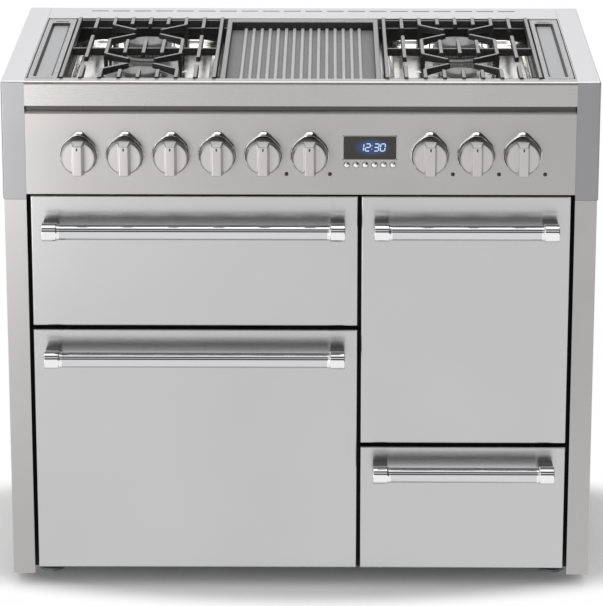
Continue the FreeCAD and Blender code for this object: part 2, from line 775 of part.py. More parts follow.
def door(prefix, x, z, handle_drop):
    """A drop-down door: outer skin, inner panel with hinge ears, and a handle."""
    axis_y = FRONT + size("hinge_setback")
    axis_z = z[0] + size("hinge_rise")
    half_slot = size("bracket_width") / 2 + GAP * 2
    reach = size("ear_reach")
    slots = []
    ears = []
    bores = []
    for number, middle in enumerate(hinge_places(x), start=1):
        label = "%s_%d" % (prefix, number)
        across = (middle - half_slot, middle + half_slot)
        slots.append(block(
            label + "_slot",
            across,
            (axis_y - reach - GAP, DOOR_BACK + SHEET),
            (z[0] - SHEET, axis_z + size("bracket_height")),
        ))
        for side in (-1, 1):
            near_face = middle + side * (size("bracket_width") / 2 + GAP)
            far_face = near_face + side * size("ear_width")
            span = (near_face, far_face) if side > 0 else (far_face, near_face)
            ears.append(block(
                "%s_ear_%d" % (label, side + 2),
                span,
                (axis_y - reach, DOOR_BACK - SHEET),
                (axis_z - reach, axis_z + reach * 2),
            ))
        half_pin = size("bracket_width") / 2 + size("pin_overhang") + GAP
        bores.append(rod(
            label + "_bore",
            size("pin_radius") + size("pin_clearance"),
            (middle - half_pin, middle + half_pin),
            axis_y,
            axis_z,
        ))
    skin = folded_pan(prefix + "_skin", x, z, size("door_thickness"))
    node(prefix + "_skin", cut(prefix + "_skin", skin, *slots))
    inset = SHEET + GAP / 2
    plate = block(
        prefix + "_plate",
        (x[0] + inset, x[1] - inset),
        (DOOR_BACK - SHEET, DOOR_BACK),
        (z[0] + inset, z[1] - inset),
    )
    slotted = cut(prefix + "_slotted_plate", plate, *slots)
    bored = cut(prefix + "_bored_ears", fuse(prefix + "_ears", *ears), *bores)
    node(prefix + "_inner_panel", fuse(prefix + "_inner_panel", slotted, bored))
    handle(prefix + "_handle", x, z[1] - handle_drop)


def hinge_brackets():
    """Six brackets on the front frame, each with the pin on which a door turns."""
    brackets = []
    for label, x, bottom in DOORS_ON_HINGES:
        axis_y = FRONT + size("hinge_setback")
        axis_z = bottom + size("hinge_rise")
        half_width = size("bracket_width") / 2
        half_height = size("bracket_height") / 2
        half_pin = half_width + size("pin_overhang")
        for number, middle in enumerate(hinge_places(x), start=1):
            name = "%s_bracket_%d" % (label, number)
            arm = block(
                name + "_arm",
                (middle - half_width, middle + half_width),
                (axis_y, FRAME_FRONT),
                (axis_z - half_height, axis_z + half_height),
            )
            nose = rod(
                name + "_nose", half_height, (middle - half_width, middle + half_width), axis_y, axis_z,
            )
            along_pin = (middle - half_pin, middle + half_pin)
            pin = rod(name + "_pin", size("pin_radius"), along_pin, axis_y, axis_z)
            brackets.append(fuse(name, arm, nose, pin))
    node("hinge_brackets", group("hinge_brackets", *brackets))


def drawer():
    """Storage drawer: folded front, sheet box with slider strips, and a handle."""
    z = (DOOR_BOTTOM, DRAWER_TOP)
    node("drawer_front", folded_pan("drawer_front", RIGHT_DOOR, z, size("door_thickness")))
    y = (DOOR_BACK, BACK_PANEL - size("drawer_back_gap"))
    outer = block("drawer_block", DRAWER_X, y, DRAWER_Z)
    hollow = block(
        "drawer_hollow",
        (DRAWER_X[0] + SHEET, DRAWER_X[1] - SHEET),
        (y[0] + SHEET, y[1] - SHEET),
        (DRAWER_Z[0] + SHEET, DRAWER_Z[1] + SHEET),
    )
    box = cut("drawer_shell", outer, hollow)
    strips = [
        block("slider_strip_%d" % number, across, (y[0] + SLIDE_START, y[1]), SLIDE_Z)
        for number, across in enumerate((
            (DRAWER_X[0] - size("slide_depth"), DRAWER_X[0]),
            (DRAWER_X[1], DRAWER_X[1] + size("slide_depth")),
        ), start=1)
    ]
    node("drawer_box", fuse("drawer_box", box, *strips))
    handle("drawer_handle", RIGHT_DOOR, z[1] - size("drawer_handle_drop"))


def drawer_rails():
    """Fixed channels, one each side of the drawer, in which the slider strips run."""
    clearance = size("slide_clearance")
    rails = []
    for number, side in enumerate((-1, 1), start=1):
        wall = DRAWER_X[0] if side < 0 else DRAWER_X[1]
        strip_end = wall + side * size("slide_depth")
        near_edge = wall + side * clearance
        web = strip_end + side * (clearance + SHEET)
        groove_end = strip_end + side * clearance
        across = (web, near_edge) if side < 0 else (near_edge, web)
        groove = (groove_end, near_edge + GAP) if side < 0 else (near_edge - GAP, groove_end)
        channel = block(
            "rail_block_%d" % number,
            across,
            (FRAME_BACK, BACK_PANEL),
            (SLIDE_Z[0] - clearance - SHEET, SLIDE_Z[1] + clearance + SHEET),
        )
        hollow = block(
            "rail_hollow_%d" % number,
            groove,
            (FRAME_BACK - GAP, BACK_PANEL + GAP),
            (SLIDE_Z[0] - clearance, SLIDE_Z[1] + clearance),
        )
        rails.append(cut("rail_channel_%d" % number, channel, hollow))
    node("drawer_rails", group("drawer_rails", *rails))


DRAWER_X = (RIGHT_DOOR[0] + size("drawer_side_margin"), RIGHT_DOOR[1] - size("drawer_side_margin"))
DRAWER_FLOOR = DOOR_BOTTOM + size("drawer_rise")
DRAWER_Z = (DRAWER_FLOOR, DRAWER_FLOOR + size("drawer_box_height"))
SLIDE_BOTTOM = DRAWER_FLOOR + size("slide_rise")
SLIDE_Z = (SLIDE_BOTTOM, SLIDE_BOTTOM + size("slide_height"))
SLIDE_START = size("seal_depth") + size("frame_gap") + SHEET * 2
DOORS_ON_HINGES = (
    ("grill", LEFT_DOOR, GRILL_DOOR_BOTTOM),
    ("main", LEFT_DOOR, DOOR_BOTTOM),
    ("tall", RIGHT_DOOR, TALL_DOOR_BOTTOM),
)


# ---------------------------------------------------------------------------------------------
# Ovens behind the doors
# ---------------------------------------------------------------------------------------------

def oven_mouth(x, z):
    """The opening that a door covers, as its x pair and z pair."""
    return (
        (x[0] + size("oven_side_margin"), x[1] - size("oven_side_margin")),
        (z[0] + size("oven_lower_margin"), z[1] - size("oven_upper_margin")),
    )


GRILL_MOUTH = oven_mouth(LEFT_DOOR, (GRILL_DOOR_BOTTOM, DOOR_TOP))
MAIN_MOUTH = oven_mouth(LEFT_DOOR, (DOOR_BOTTOM, MAIN_DOOR_TOP))
TALL_MOUTH = oven_mouth(RIGHT_DOOR, (TALL_DOOR_BOTTOM, DOOR_TOP))
OVEN_BACK = BACK_PANEL - size("service_depth")
FAN_X = (MAIN_MOUTH[0][0] + MAIN_MOUTH[0][1]) / 2
FAN_Z = (MAIN_MOUTH[1][0] + MAIN_MOUTH[1][1]) / 2
CHAMBER_BACK = OVEN_BACK + size("fan_chamber_depth")


def grown(pair, margin):
    return (pair[0] - margin, pair[1] + margin)


def around(middle, half_width):
    return (middle - half_width, middle + half_width)


def front_frame():
    """Upright sheet behind the doors with the three oven mouths and the drawer mouth."""
    half_width = SIDE_OUTSIDE - SHEET * 1.5
    across = (-half_width, half_width)
    plate = block("frame_plate", across, (FRAME_FRONT, FRAME_BACK), (SIDE_EDGE, PANEL_BOTTOM))
    through = (FRAME_FRONT - SHEET, FRAME_BACK + SHEET)
    mouths = [
        block("frame_mouth_%d" % number, x, through, z)
        for number, (x, z) in enumerate((GRILL_MOUTH, MAIN_MOUTH, TALL_MOUTH), start=1)
    ]
    drawer_mouth = grown(DRAWER_X, size("slide_depth") + GAP * 2)
    mouths.append(block("frame_mouth_4", drawer_mouth, through, grown(DRAWER_Z, size("door_gap") / 2)))
    node("front_frame", cut("front_frame", plate, *mouths))


def oven_cavity(name, mouth, rear_features):
    """A sheet steel oven box that is open at the front."""
    x, z = mouth
    outer = block(name + "_outer", grown(x, SHEET), (FRAME_BACK, OVEN_BACK + SHEET), grown(z, SHEET))
    inner = block(name + "_inner", x, (FRAME_BACK - SHEET, OVEN_BACK), z)
    shell = cut(name + "_shell", outer, inner)
    node(name, rear_features(name, shell))


def plain_rear(name, shell):
    return shell


def fan_rear(name, shell):
    """Adds the fan chamber behind the rear wall and the ring of air holes in front of the fan."""
    half = size("fan_chamber_width") / 2
    outside = block(
        name + "_chamber",
        around(FAN_X, half + SHEET),
        (OVEN_BACK, CHAMBER_BACK + SHEET),
        around(FAN_Z, half + SHEET),
    )
    inside = block(
        name + "_chamber_hollow",
        around(FAN_X, half),
        (OVEN_BACK + SHEET, CHAMBER_BACK),
        around(FAN_Z, half),
    )
    through = (OVEN_BACK - SHEET, OVEN_BACK + SHEET * 2)
    holes = [rod(name + "_air_hole_0", size("air_hole_radius"), FAN_X, through, FAN_Z)]
    for ring in (1, 2, 3):
        count = ring * 6
        radius = size("fan_grille_radius") * (ring / 3)
        for step in range(count):
            angle = 2 * math.pi * step / count
            holes.append(rod(
                "%s_air_hole_%d_%d" % (name, ring, step),
                size("air_hole_radius"),
                FAN_X + radius * math.cos(angle),
                through,
                FAN_Z + radius * math.sin(angle),
            ))
    shaft = rod(
        name + "_shaft_hole",
        size("shaft_radius") + GAP,
        FAN_X,
        (CHAMBER_BACK - SHEET, CHAMBER_BACK + SHEET * 2),
        FAN_Z,
    )
    chamber = cut(name + "_chamber_shell", fuse(name + "_with_chamber", shell, outside), inside)
    return cut(name, chamber, *holes, shaft)


def oven_seals():
    """Soft door seals on the front frame, one round each oven mouth."""
    rings = []
    for number, (x, z) in enumerate((GRILL_MOUTH, MAIN_MOUTH, TALL_MOUTH), start=1):
        inner_x = grown(x, size("seal_inset"))
        inner_z = grown(z, size("seal_inset"))
        outer = block(
            "seal_outer_%d" % number,
            grown(inner_x, size("seal_width")),
            (SEAL_FRONT, FRAME_FRONT),
            grown(inner_z, size("seal_width")),
        )
        inner = block("seal_inner_%d" % number, inner_x, (SEAL_FRONT - GAP, FRAME_FRONT + GAP), inner_z)
        rings.append(cut("seal_ring_%d" % number, outer, inner))
    node("oven_seals", group("oven_seals", *rings))


def convection_fan():
    """Fan rotor: a backing disc with radial blades on a shaft."""
    y_disc = CHAMBER_BACK - size("fan_gap")
    y_blades = (y_disc - size("fan_depth"), y_disc)
    start = size("blade_start")
    hub = rod("fan_hub", size("fan_hub"), FAN_X, y_blades, FAN_Z)
    disc = rod("fan_disc", size("fan_radius"), FAN_X, (y_disc, y_disc + SHEET), FAN_Z)
    shaft = rod("fan_shaft", size("shaft_radius"), FAN_X, (y_disc, CHAMBER_BACK + SHEET + GAP), FAN_Z)
    blades = []
    count = int(float(size("blade_count")))
    for step in range(count):
        blade = document.addObject("Part::Box", "fan_blade_%d" % step)
        bind(blade, "Length", size("fan_radius") - start - size("blade_margin"))
        bind(blade, "Width", size("fan_depth") + SHEET / 2)
        bind(blade, "Height", SHEET)
        angle = 2 * math.pi * step / count
        blade.Placement = Placement(Vector(), Rotation(Vector(0, 1, 0), -math.degrees(angle)))
        place(blade, FAN_X + start * math.cos(angle), y_blades[0], FAN_Z + start * math.sin(angle))
        blades.append(blade)
    node("convection_fan", fuse("convection_fan", hub, disc, shaft, *blades))


def fan_motor():
    """Motor behind the fan chamber, with a blind bore for the fan shaft."""
    behind = CHAMBER_BACK + SHEET
    can = rod("motor_can", size("motor_radius"), FAN_X, (behind, behind + size("motor_length")), FAN_Z)
    plate = block(
        "motor_plate",
        around(FAN_X, size("motor_plate_width") / 2),
        (behind, behind + SHEET),
        around(FAN_Z, size("motor_plate_height") / 2),
    )
    bore = rod("motor_bore", size("shaft_radius") + GAP, FAN_X, (behind - GAP, behind + GAP * 4), FAN_Z)
    node("fan_motor", cut("fan_motor", fuse("motor_with_plate", can, plate), bore))


def element_loop(x, y, z, radius):
    """A heating element bent into a flat U, both ends in the rear wall; sizes are plain numbers."""
    bend = (x[1] - x[0]) / 2
    middle = (x[0] + x[1]) / 2
    corner = y[0] + bend
    edges = [
        Part.LineSegment(Vector(x[0], y[1], z), Vector(x[0], corner, z)).toShape(),
        Part.Arc(Vector(x[0], corner, z), Vector(middle, y[0], z), Vector(x[1], corner, z)).toShape(),
        Part.LineSegment(Vector(x[1], corner, z), Vector(x[1], y[1], z)).toShape(),
    ]
    section = Part.Wire([Part.Circle(Vector(x[0], y[1], z), Vector(0, 1, 0), radius).toShape()])
    return Part.Wire(edges).makePipeShell([section], True, True)


def heating_elements():
    """Grill, bottom and griddle elements as flat loops, and the ring element round the fan."""
    radius = float(size("element_radius"))
    gap = float(size("element_gap"))
    mouth_y = float(FRAME_BACK)
    back = float(OVEN_BACK)
    loops = []
    for mouth, levels, inset in (
        (GRILL_MOUTH, ("upper",), float(size("grill_element_inset"))),
        (MAIN_MOUTH, ("upper",), float(size("main_element_inset"))),
        (TALL_MOUTH, ("upper", "lower"), float(size("tall_element_inset"))),
    ):
        x = (float(mouth[0][0]) + inset, float(mouth[0][1]) - inset)
        for level in levels:
            z = float(mouth[1][1]) - gap if level == "upper" else float(mouth[1][0]) + gap
            loops.append(element_loop(x, (mouth_y + inset, back), z, radius))
    inset = float(size("griddle_element_inset"))
    half_width = float(size("griddle_width")) / 2 - inset
    along = (float(FIELD_Y[0]) + inset, float(RECESS_BACK))
    rise = float(HOB_FLOOR + size("griddle_element_rise"))
    loops.append(element_loop((-half_width, half_width), along, rise, radius))
    ring = Part.makeTorus(
        float(size("fan_radius")) + gap,
        radius,
        Vector(float(FAN_X), float(CHAMBER_BACK) - gap * 1.5, float(FAN_Z)),
        Vector(0, 1, 0),
    )
    made = document.addObject("Part::Feature", "heating_elements")
    made.Shape = Part.makeCompound(loops + [ring])
    node("heating_elements", made)


def racks_and_shelves():
    """Wire side racks in the two ovens and one wire shelf in each."""
    wires = []
    for label, (x, z) in (("main", MAIN_MOUTH), ("tall", TALL_MOUTH)):
        y = (FRAME_BACK + size("rack_depth") * 2, OVEN_BACK - size("rack_depth"))
        wire = size("rack_wire")
        below_shelf = wire + size("shelf_wire") + GAP
        rack_height = z[1] - z[0] - size("rack_rise") - size("rack_margin")
        levels = 1 + int(float(rack_height) / float(size("rack_pitch")))
        shelf_z = z[0] + size("rack_rise") + size("rack_pitch")
        for side, wall in (("left", x[0] + size("rack_depth")), ("right", x[1] - size("rack_depth"))):
            middle = wall - size("rack_depth") / 2 if side == "left" else wall + size("rack_depth") / 2
            rungs = []
            for level in range(levels):
                rung_z = z[0] + size("rack_rise") + size("rack_pitch") * level - below_shelf
                rungs.append(rod("%s_%s_rung_%d" % (label, side, level), wire, middle, y, rung_z))
            for place_name, post_y in (("front", y[0]), ("back", y[1])):
                name = "%s_%s_%s_post" % (label, side, place_name)
                rungs.append(rod(name, size("rack_post"), middle, post_y, grown(z, -size("rack_margin"))))
            wires.append(fuse("%s_%s_rack" % (label, side), *rungs))
        wires.append(wire_shelf(label, (x[0] + size("rack_wire"), x[1] - size("rack_wire")), y, shelf_z))
    node("racks_and_shelves", group("racks_and_shelves", *wires))


def wire_shelf(label, x, y, z):
    """A flat shelf of wires from front to back, inside a wire border."""
    wire = size("shelf_wire")
    border = size("rack_wire")
    inner = (x[0] + wire * 2, x[1] - wire * 2)
    width = float(inner[1]) - float(inner[0])
    count = int(width / float(size("shelf_pitch")))
    pieces = [
        rod(label + "_shelf_front", border, inner, y[0] + wire * 4, z),
        rod(label + "_shelf_back", border, inner, y[1] - wire * 4, z),
    ]
    along = (y[0] + wire * 4, y[1] - wire * 4)
    for step in range(count + 1):
        across = inner[0] + (inner[1] - inner[0]) * (step / count)
        pieces.append(rod("%s_shelf_wire_%d" % (label, step), wire, across, along, z))
    return fuse(label + "_shelf", *pieces)


# ---------------------------------------------------------------------------------------------
# Controls
# ---------------------------------------------------------------------------------------------

BUTTON_AXIS = TOP - size("button_drop")
BUTTONS = [CLOCK_MIDDLE + size("button_pitch") * (step - 2.5) for step in range(6)]
LAMP_AXIS = TOP - size("lamp_drop")
LAMPS = [
    LEFT_KNOBS[4] + size("lamp_offset"),
    LEFT_KNOBS[5] + size("near_lamp_offset"),
] + [knob + size("lamp_offset") for knob in RIGHT_KNOBS]
CLOCK_X = around(CLOCK_MIDDLE, size("clock_width") / 2)
CLOCK_Z = around(TOP - size("clock_drop"), size("clock_height") / 2)
GAS_RAIL_Y = FRONT + size("rail_setback")
GAS_RAIL_Z = KNOB_AXIS - size("rail_drop")


def knob_bezels():
    """Nine fixed bezels, round below and drawn to a rounded tip above, with a recess for the knob."""
    big = float(size("bezel_radius"))
    small = float(size("bezel_tip_radius"))
    rise = float(size("bezel_tip_rise"))
    depth = float(size("bezel_depth"))
    lean = math.asin((big - small) / rise)
    big_touch = Vector(big * math.cos(lean), 0, big * math.sin(lean))
    small_touch = Vector(small * math.cos(lean), 0, rise + small * math.sin(lean))

    def mirrored(point):
        return Vector(-point.x, point.y, point.z)

    rim = Part.Wire([
        Part.Arc(big_touch, Vector(0, 0, -big), mirrored(big_touch)).toShape(),
        Part.LineSegment(mirrored(big_touch), mirrored(small_touch)).toShape(),
        Part.Arc(mirrored(small_touch), Vector(0, 0, rise + small), small_touch).toShape(),
        Part.LineSegment(small_touch, big_touch).toShape(),
    ])
    plate = Part.Face(rim).extrude(Vector(0, -depth, 0))
    front_edges = [edge for edge in plate.Edges if near(edge.BoundBox.YMax, -depth)]
    plate = plate.makeFillet(float(size("bezel_rounding")), front_edges)
    forward = Vector(0, -1, 0)
    recess_radius = float(size("disc_radius") + GAP)
    recess_start = Vector(0, float(size("bezel_recess")) - depth, 0)
    plate = plate.cut(Part.makeCylinder(recess_radius, depth, recess_start, forward))
    bore = float(size("shaft_radius") + size("shaft_clearance") * 2)
    plate = plate.cut(Part.makeCylinder(bore, depth * 3, Vector(0, depth, 0), forward))
    bezels = [plate.translated(Vector(float(x), float(FRONT), float(KNOB_AXIS))) for x in KNOBS]
    made = document.addObject("Part::Feature", "knob_bezels")
    made.Shape = Part.makeCompound(bezels)
    node("knob_bezels", made)


def knob(number, x):
    """Knob: a round disc with a tapered bar grip in front and a shaft behind."""
    name = "knob_%d" % number
    body = new_body(name)
    disc = size("disc_depth")
    chamfer = size("disc_chamfer")
    shaft = size("shaft_length")
    profile = new_sketch(body, name + "_profile", "XZ_Plane")
    outline(profile, (
        (0, 0),
        (size("shaft_radius"), 0),
        (size("shaft_radius"), shaft),
        (size("disc_radius"), shaft),
        (size("disc_radius"), shaft + disc - chamfer),
        (size("disc_radius") - chamfer, shaft + disc),
        (0, shaft + disc),
    ))
    revolve(body, name + "_disc", profile)
    grip = new_sketch(body, name + "_grip_outline", "XY_Plane", offset=shaft + disc - chamfer)
    centred_rectangle(grip, size("grip_width"), size("grip_length"))
    raised = pad(body, name + "_grip", grip, size("grip_depth") + chamfer)
    bind(raised, "TaperAngle", -size("grip_taper"))
    front = float(shaft + disc + size("grip_depth"))
    round_edges(
        body, name + "_grip_rounding", size("grip_rounding"),
        lambda edge: near(edge.BoundBox.ZMin, front),
    )
    body.Placement = Placement(Vector(), Rotation(Vector(1, 0, 0), 90))
    behind = FRONT - size("bezel_depth") + size("bezel_recess") - GAP + shaft
    place(body, x, behind, KNOB_AXIS)
    node(name, body)


def clock_glass():
    """Dark clock glass with its housing, in the opening of the control panel."""
    name = "clock_glass"
    body = new_body(name)
    face = new_sketch(body, name + "_face", "XZ_Plane")
    rectangle(face, 0, size("clock_width"), 0, size("clock_height"))
    pad(body, name + "_pad", face, size("clock_proud") + size("clock_depth"), reverse=True)
    round_edges(
        body, name + "_corners", size("clock_rounding"),
        lambda edge: near(edge.BoundBox.YLength, float(size("clock_proud") + size("clock_depth"))),
    )
    place(body, CLOCK_X[0], FRONT - size("clock_proud"), CLOCK_Z[0])
    node(name, body)


def clock_button(number, x):
    """Small round push button with a rounded front."""
    name = "clock_button_%d" % number
    body = new_body(name)
    length = size("button_proud") + size("button_depth")
    profile = new_sketch(body, name + "_profile", "XZ_Plane")
    outline(profile, ((0, 0), (size("button_radius"), 0), (size("button_radius"), length), (0, length)))
    revolve(body, name + "_turned", profile)
    round_edges(
        body, name + "_dome", size("button_dome"),
        lambda edge: near(edge.BoundBox.ZMin, float(length)) and edge.BoundBox.XLength > 1,
    )
    body.Placement = Placement(Vector(), Rotation(Vector(1, 0, 0), 90))
    place(body, x, FRONT + size("button_depth"), BUTTON_AXIS)
    node(name, body)


def indicator_lamps():
    """Five small round lenses in the control panel."""
    along = (FRONT - size("lamp_proud"), FRONT + size("lamp_depth"))
    lenses = [
        rod("lamp_%d" % number, size("lamp_radius"), x, along, LAMP_AXIS)
        for number, x in enumerate(LAMPS, start=1)
    ]
    node("indicator_lamps", group("indicator_lamps", *lenses))


def gas_rail_and_taps():
    """Gas rail behind the control panel, its inlet at the back, and a tap or switch for each knob."""
    pieces = []
    near_end = KNOBS[0] - size("tap_width")
    pipe = rod("rail_pipe", size("rail_radius"), (near_end, size("inlet_offset")), GAS_RAIL_Y, GAS_RAIL_Z)
    stub_start = BACK_PANEL + SHEET + GAP
    back_pipe = rod(
        "inlet_pipe", size("rail_radius"), size("inlet_offset"), (GAS_RAIL_Y, stub_start), GAS_RAIL_Z,
    )
    elbow = document.addObject("Part::Sphere", "inlet_elbow")
    bind(elbow, "Radius", size("rail_radius"))
    place(elbow, size("inlet_offset"), GAS_RAIL_Y, GAS_RAIL_Z)
    inlet = rod(
        "inlet_stub",
        size("inlet_radius"),
        size("inlet_offset"),
        (stub_start, stub_start + size("inlet_length")),
        GAS_RAIL_Z,
    )
    rail = fuse("rail_with_end", pipe, elbow)
    pieces.append(rail)
    pieces.append(cut("inlet_branch", fuse("inlet_with_pipe", back_pipe, inlet), rail))
    tap_back = FRONT + size("tap_setback") + size("tap_depth")
    for number, x in enumerate(KNOBS, start=1):
        name = "tap_%d" % number
        housing = block(
            name + "_housing",
            around(x, size("tap_width") / 2),
            (FRONT + size("tap_setback"), tap_back),
            (KNOB_AXIS - size("tap_width") / 2, KNOB_AXIS + size("tap_width") / 2),
        )
        bore = rod(
            name + "_bore",
            size("shaft_radius") + size("shaft_clearance"),
            x,
            (FRONT, FRONT + size("shaft_length") + GAP),
            KNOB_AXIS,
        )
        pieces.append(cut(name, housing, bore))
    node("gas_rail_and_taps", group("gas_rail_and_taps", *pieces))


# ---------------------------------------------------------------------------------------------
# Hob
# ---------------------------------------------------------------------------------------------

FIELD_Y = (RECESS_FRONT + size("recess_gap"), RECESS_BACK - size("recess_gap"))
FIELD_MIDDLE = (FIELD_Y[0] + FIELD_Y[1]) / 2
TRAY_OUTSIDE = RECESS_HALF - size("recess_gap")
TRAY_INSIDE = TRAY_OUTSIDE - size("tray_width")
SUPPORT_X = (size("griddle_width") / 2 + size("griddle_gap"), TRAY_INSIDE - size("field_gap"))
SUPPORT_OFFSET = (SUPPORT_X[0] + SUPPORT_X[1]) / 2
BURNERS = (
    # name, side, front (-1) or rear (+1), cap radius
    ("front_left", -1, -1, size("double_burner")),
    ("rear_left", -1, 1, size("medium_burner")),
    ("front_right", 1, -1, size("small_burner")),
    ("rear_right", 1, 1, size("large_burner")),
)


def burner_place(side, end):
    return (SUPPORT_OFFSET * side, FIELD_MIDDLE + size("burner_spread") * end)


def hob_top():
    """Hob sheet: a deep recess for the burners and a flat ledge with a vent behind it."""
    half_width = TRIM_INSIDE - GAP
    x = (-half_width, half_width)
    outer = block("hob_block", x, (HOB_FRONT, REAR - SHEET), (HOB_FLOOR - SHEET, TOP))
    recess = block(
        "hob_recess",
        (-RECESS_HALF, RECESS_HALF),
        (RECESS_FRONT, RECESS_BACK),
        (HOB_FLOOR, TOP + SHEET),
    )
    under_ledge = block(
        "hob_under_ledge",
        grown(x, -SHEET),
        (RECESS_BACK + SHEET, REAR - SHEET * 2),
        (HOB_FLOOR - SHEET * 2, TOP - SHEET),
    )
    through = (HOB_FLOOR - SHEET * 2, HOB_FLOOR + SHEET)
    holes = []
    for name, side, end, _ in BURNERS:
        hole_x, hole_y = burner_place(side, end)
        holes.append(rod(name + "_hob_hole", size("burner_hole"), hole_x, hole_y, through))
    vent_span = float(half_width * 2 - size("vent_margin") * 2 - size("vent_length"))
    vent_gaps = int(vent_span / float(size("vent_pitch")))
    for step in range(vent_gaps + 1):
        holes.append(block(
            "vent_slot_%d" % step,
            around(size("vent_pitch") * (step - vent_gaps / 2), size("vent_length") / 2),
            around(REAR - size("vent_setback"), size("vent_width") / 2),
            (TOP - SHEET * 2, TOP + SHEET),
        ))
    node("hob_top", cut("hob_top", outer, recess, under_ledge, *holes))


def turned(name, x, y, z, points):
    """A piece turned about a vertical axis at x, y; points are (radius, height) above z."""
    body = new_body(name)
    profile = new_sketch(body, name + "_profile", "XZ_Plane")
    outline(profile, points)
    revolve(body, name + "_turned", profile)
    place(body, x, y, z)
    return body


def burners():
    """Four burners, each a cup with a flange, a crown and a cap; the front left one has two rings."""
    bases = []
    crowns = []
    caps = []
    flange = size("flange_height")
    crown = size("crown_height")
    cup = size("burner_cup_depth")
    for name, side, end, radius in BURNERS:
        x, y = burner_place(side, end)
        is_double = name == "front_left"
        crown_radius = radius + size("crown_overhang")
        flange_radius = size("double_ring") if is_double else crown_radius + size("flange_overhang")
        bases.append(turned(name + "_base", x, y, HOB_FLOOR - cup, (
            (0, 0),
            (size("burner_cup_radius"), 0),
            (size("burner_cup_radius"), cup),
            (flange_radius, cup),
            (flange_radius - SHEET, cup + flange),
            (0, cup + flange),
        )))
        crowns.append(turned(name + "_crown", x, y, HOB_FLOOR + flange, (
            (0, 0),
            (crown_radius - SHEET * 2, 0),
            (crown_radius, crown),
            (0, crown),
        )))
        if is_double:
            ring = size("double_ring")
            inner = ring - size("double_ring_width")
            ring_height = crown - size("cap_height") / 2
            crowns.append(turned(name + "_outer_crown", x, y, HOB_FLOOR + flange, (
                (inner, 0),
                (ring - SHEET * 2, 0),
                (ring, ring_height),
                (inner, ring_height),
            )))
        cap = turned(name + "_cap", x, y, HOB_FLOOR + flange + crown, (
            (0, 0),
            (radius, 0),
            (radius, size("cap_height")),
            (0, size("cap_height")),
        ))
        height = float(size("cap_height"))
        round_edges(
            cap, name + "_cap_rounding", size("cap_rounding"),
            lambda edge: near(edge.BoundBox.ZMin, height) and edge.BoundBox.XLength > 1,
        )
        caps.append(cap)
    node("burner_bases", group("burner_bases", *bases))
    node("burner_crowns", group("burner_crowns", *crowns))
    node("burner_caps", group("burner_caps", *caps))


def beam(start, end, width, depth, top):
    """A straight bar of a pan support between two points, its upper face at top."""
    line = end - start
    bar = Part.makeBox(line.Length, width, depth, Vector(0, -width / 2, top - depth))
    turn = Rotation(Vector(1, 0, 0), line)
    bar.Placement = Placement(Vector(start.x, start.y, 0), turn)
    return bar


def support_shape():
    """One cast pan support about its own middle, with its fingers round the two burners."""
    half_width = float(SUPPORT_X[1] - SUPPORT_X[0]) / 2
    half_length = float(FIELD_Y[1] - FIELD_Y[0]) / 2
    bar = float(size("support_bar"))
    depth = float(size("support_bar_depth"))
    pitch = (half_width - bar / 2) / 4
    top = float(TOP + size("support_proud"))
    drop = float(size("support_bar_drop"))
    foot = float(HOB_FLOOR + size("lift_gap"))
    spread = float(size("burner_spread"))

    def along(x, low, high):
        return beam(Vector(x, low, 0), Vector(x, high, 0), bar, depth, top)

    pieces = []
    for side in (-1, 1):
        pieces.append(along(side * (half_width - bar / 2), -half_length, half_length))
    cross_y = half_length - bar / 2 - drop
    for y in (-cross_y, 0, cross_y):
        pieces.append(beam(Vector(-half_width, y, 0), Vector(half_width, y, 0), bar, depth, top - drop))
    for step, clearance in (
        (-3, size("border_clearance")),
        (-1, size("finger_clearance")),
        (0, size("finger_clearance")),
        (1, size("finger_clearance")),
        (3, size("border_clearance")),
    ):
        x = pitch * step
        inner = spread - float(clearance)
        outer = spread + float(clearance)
        pieces.append(along(x, -half_length, -outer))
        pieces.append(along(x, -inner, inner))
        pieces.append(along(x, outer, half_length))
    elbow_clearance = float(size("elbow_clearance"))
    tip_y = float(size("elbow_tip"))
    reach = elbow_clearance - tip_y
    for side in (-1, 1):
        elbow = side * pitch * 2
        tip_x = elbow - side * reach
        inner = spread - elbow_clearance
        pieces.append(along(elbow, -inner, inner))
        for end in (-1, 1):
            outer_corner = Vector(elbow, end * (spread + elbow_clearance), 0)
            inner_corner = Vector(elbow, end * inner, 0)
            pieces.append(beam(Vector(elbow, end * half_length, 0), outer_corner, bar, depth, top))
            pieces.append(beam(outer_corner, Vector(tip_x, end * (spread + tip_y), 0), bar, depth, top))
            pieces.append(beam(inner_corner, Vector(tip_x, end * (spread - tip_y), 0), bar, depth, top))
            for corner in (outer_corner, inner_corner):
                corner_foot = Vector(corner.x - bar / 2, corner.y - bar / 2, foot)
                pieces.append(Part.makeBox(bar, bar, top - foot, corner_foot))
    shape = pieces[0].multiFuse(pieces[1:])
    return shape.removeSplitter()


def pan_support(name, side):
    made = document.addObject("Part::Feature", name)
    made.Shape = support_shape()
    made.Placement = Placement(Vector(float(SUPPORT_OFFSET) * side, float(FIELD_MIDDLE), 0), Rotation())
    node(name, made)


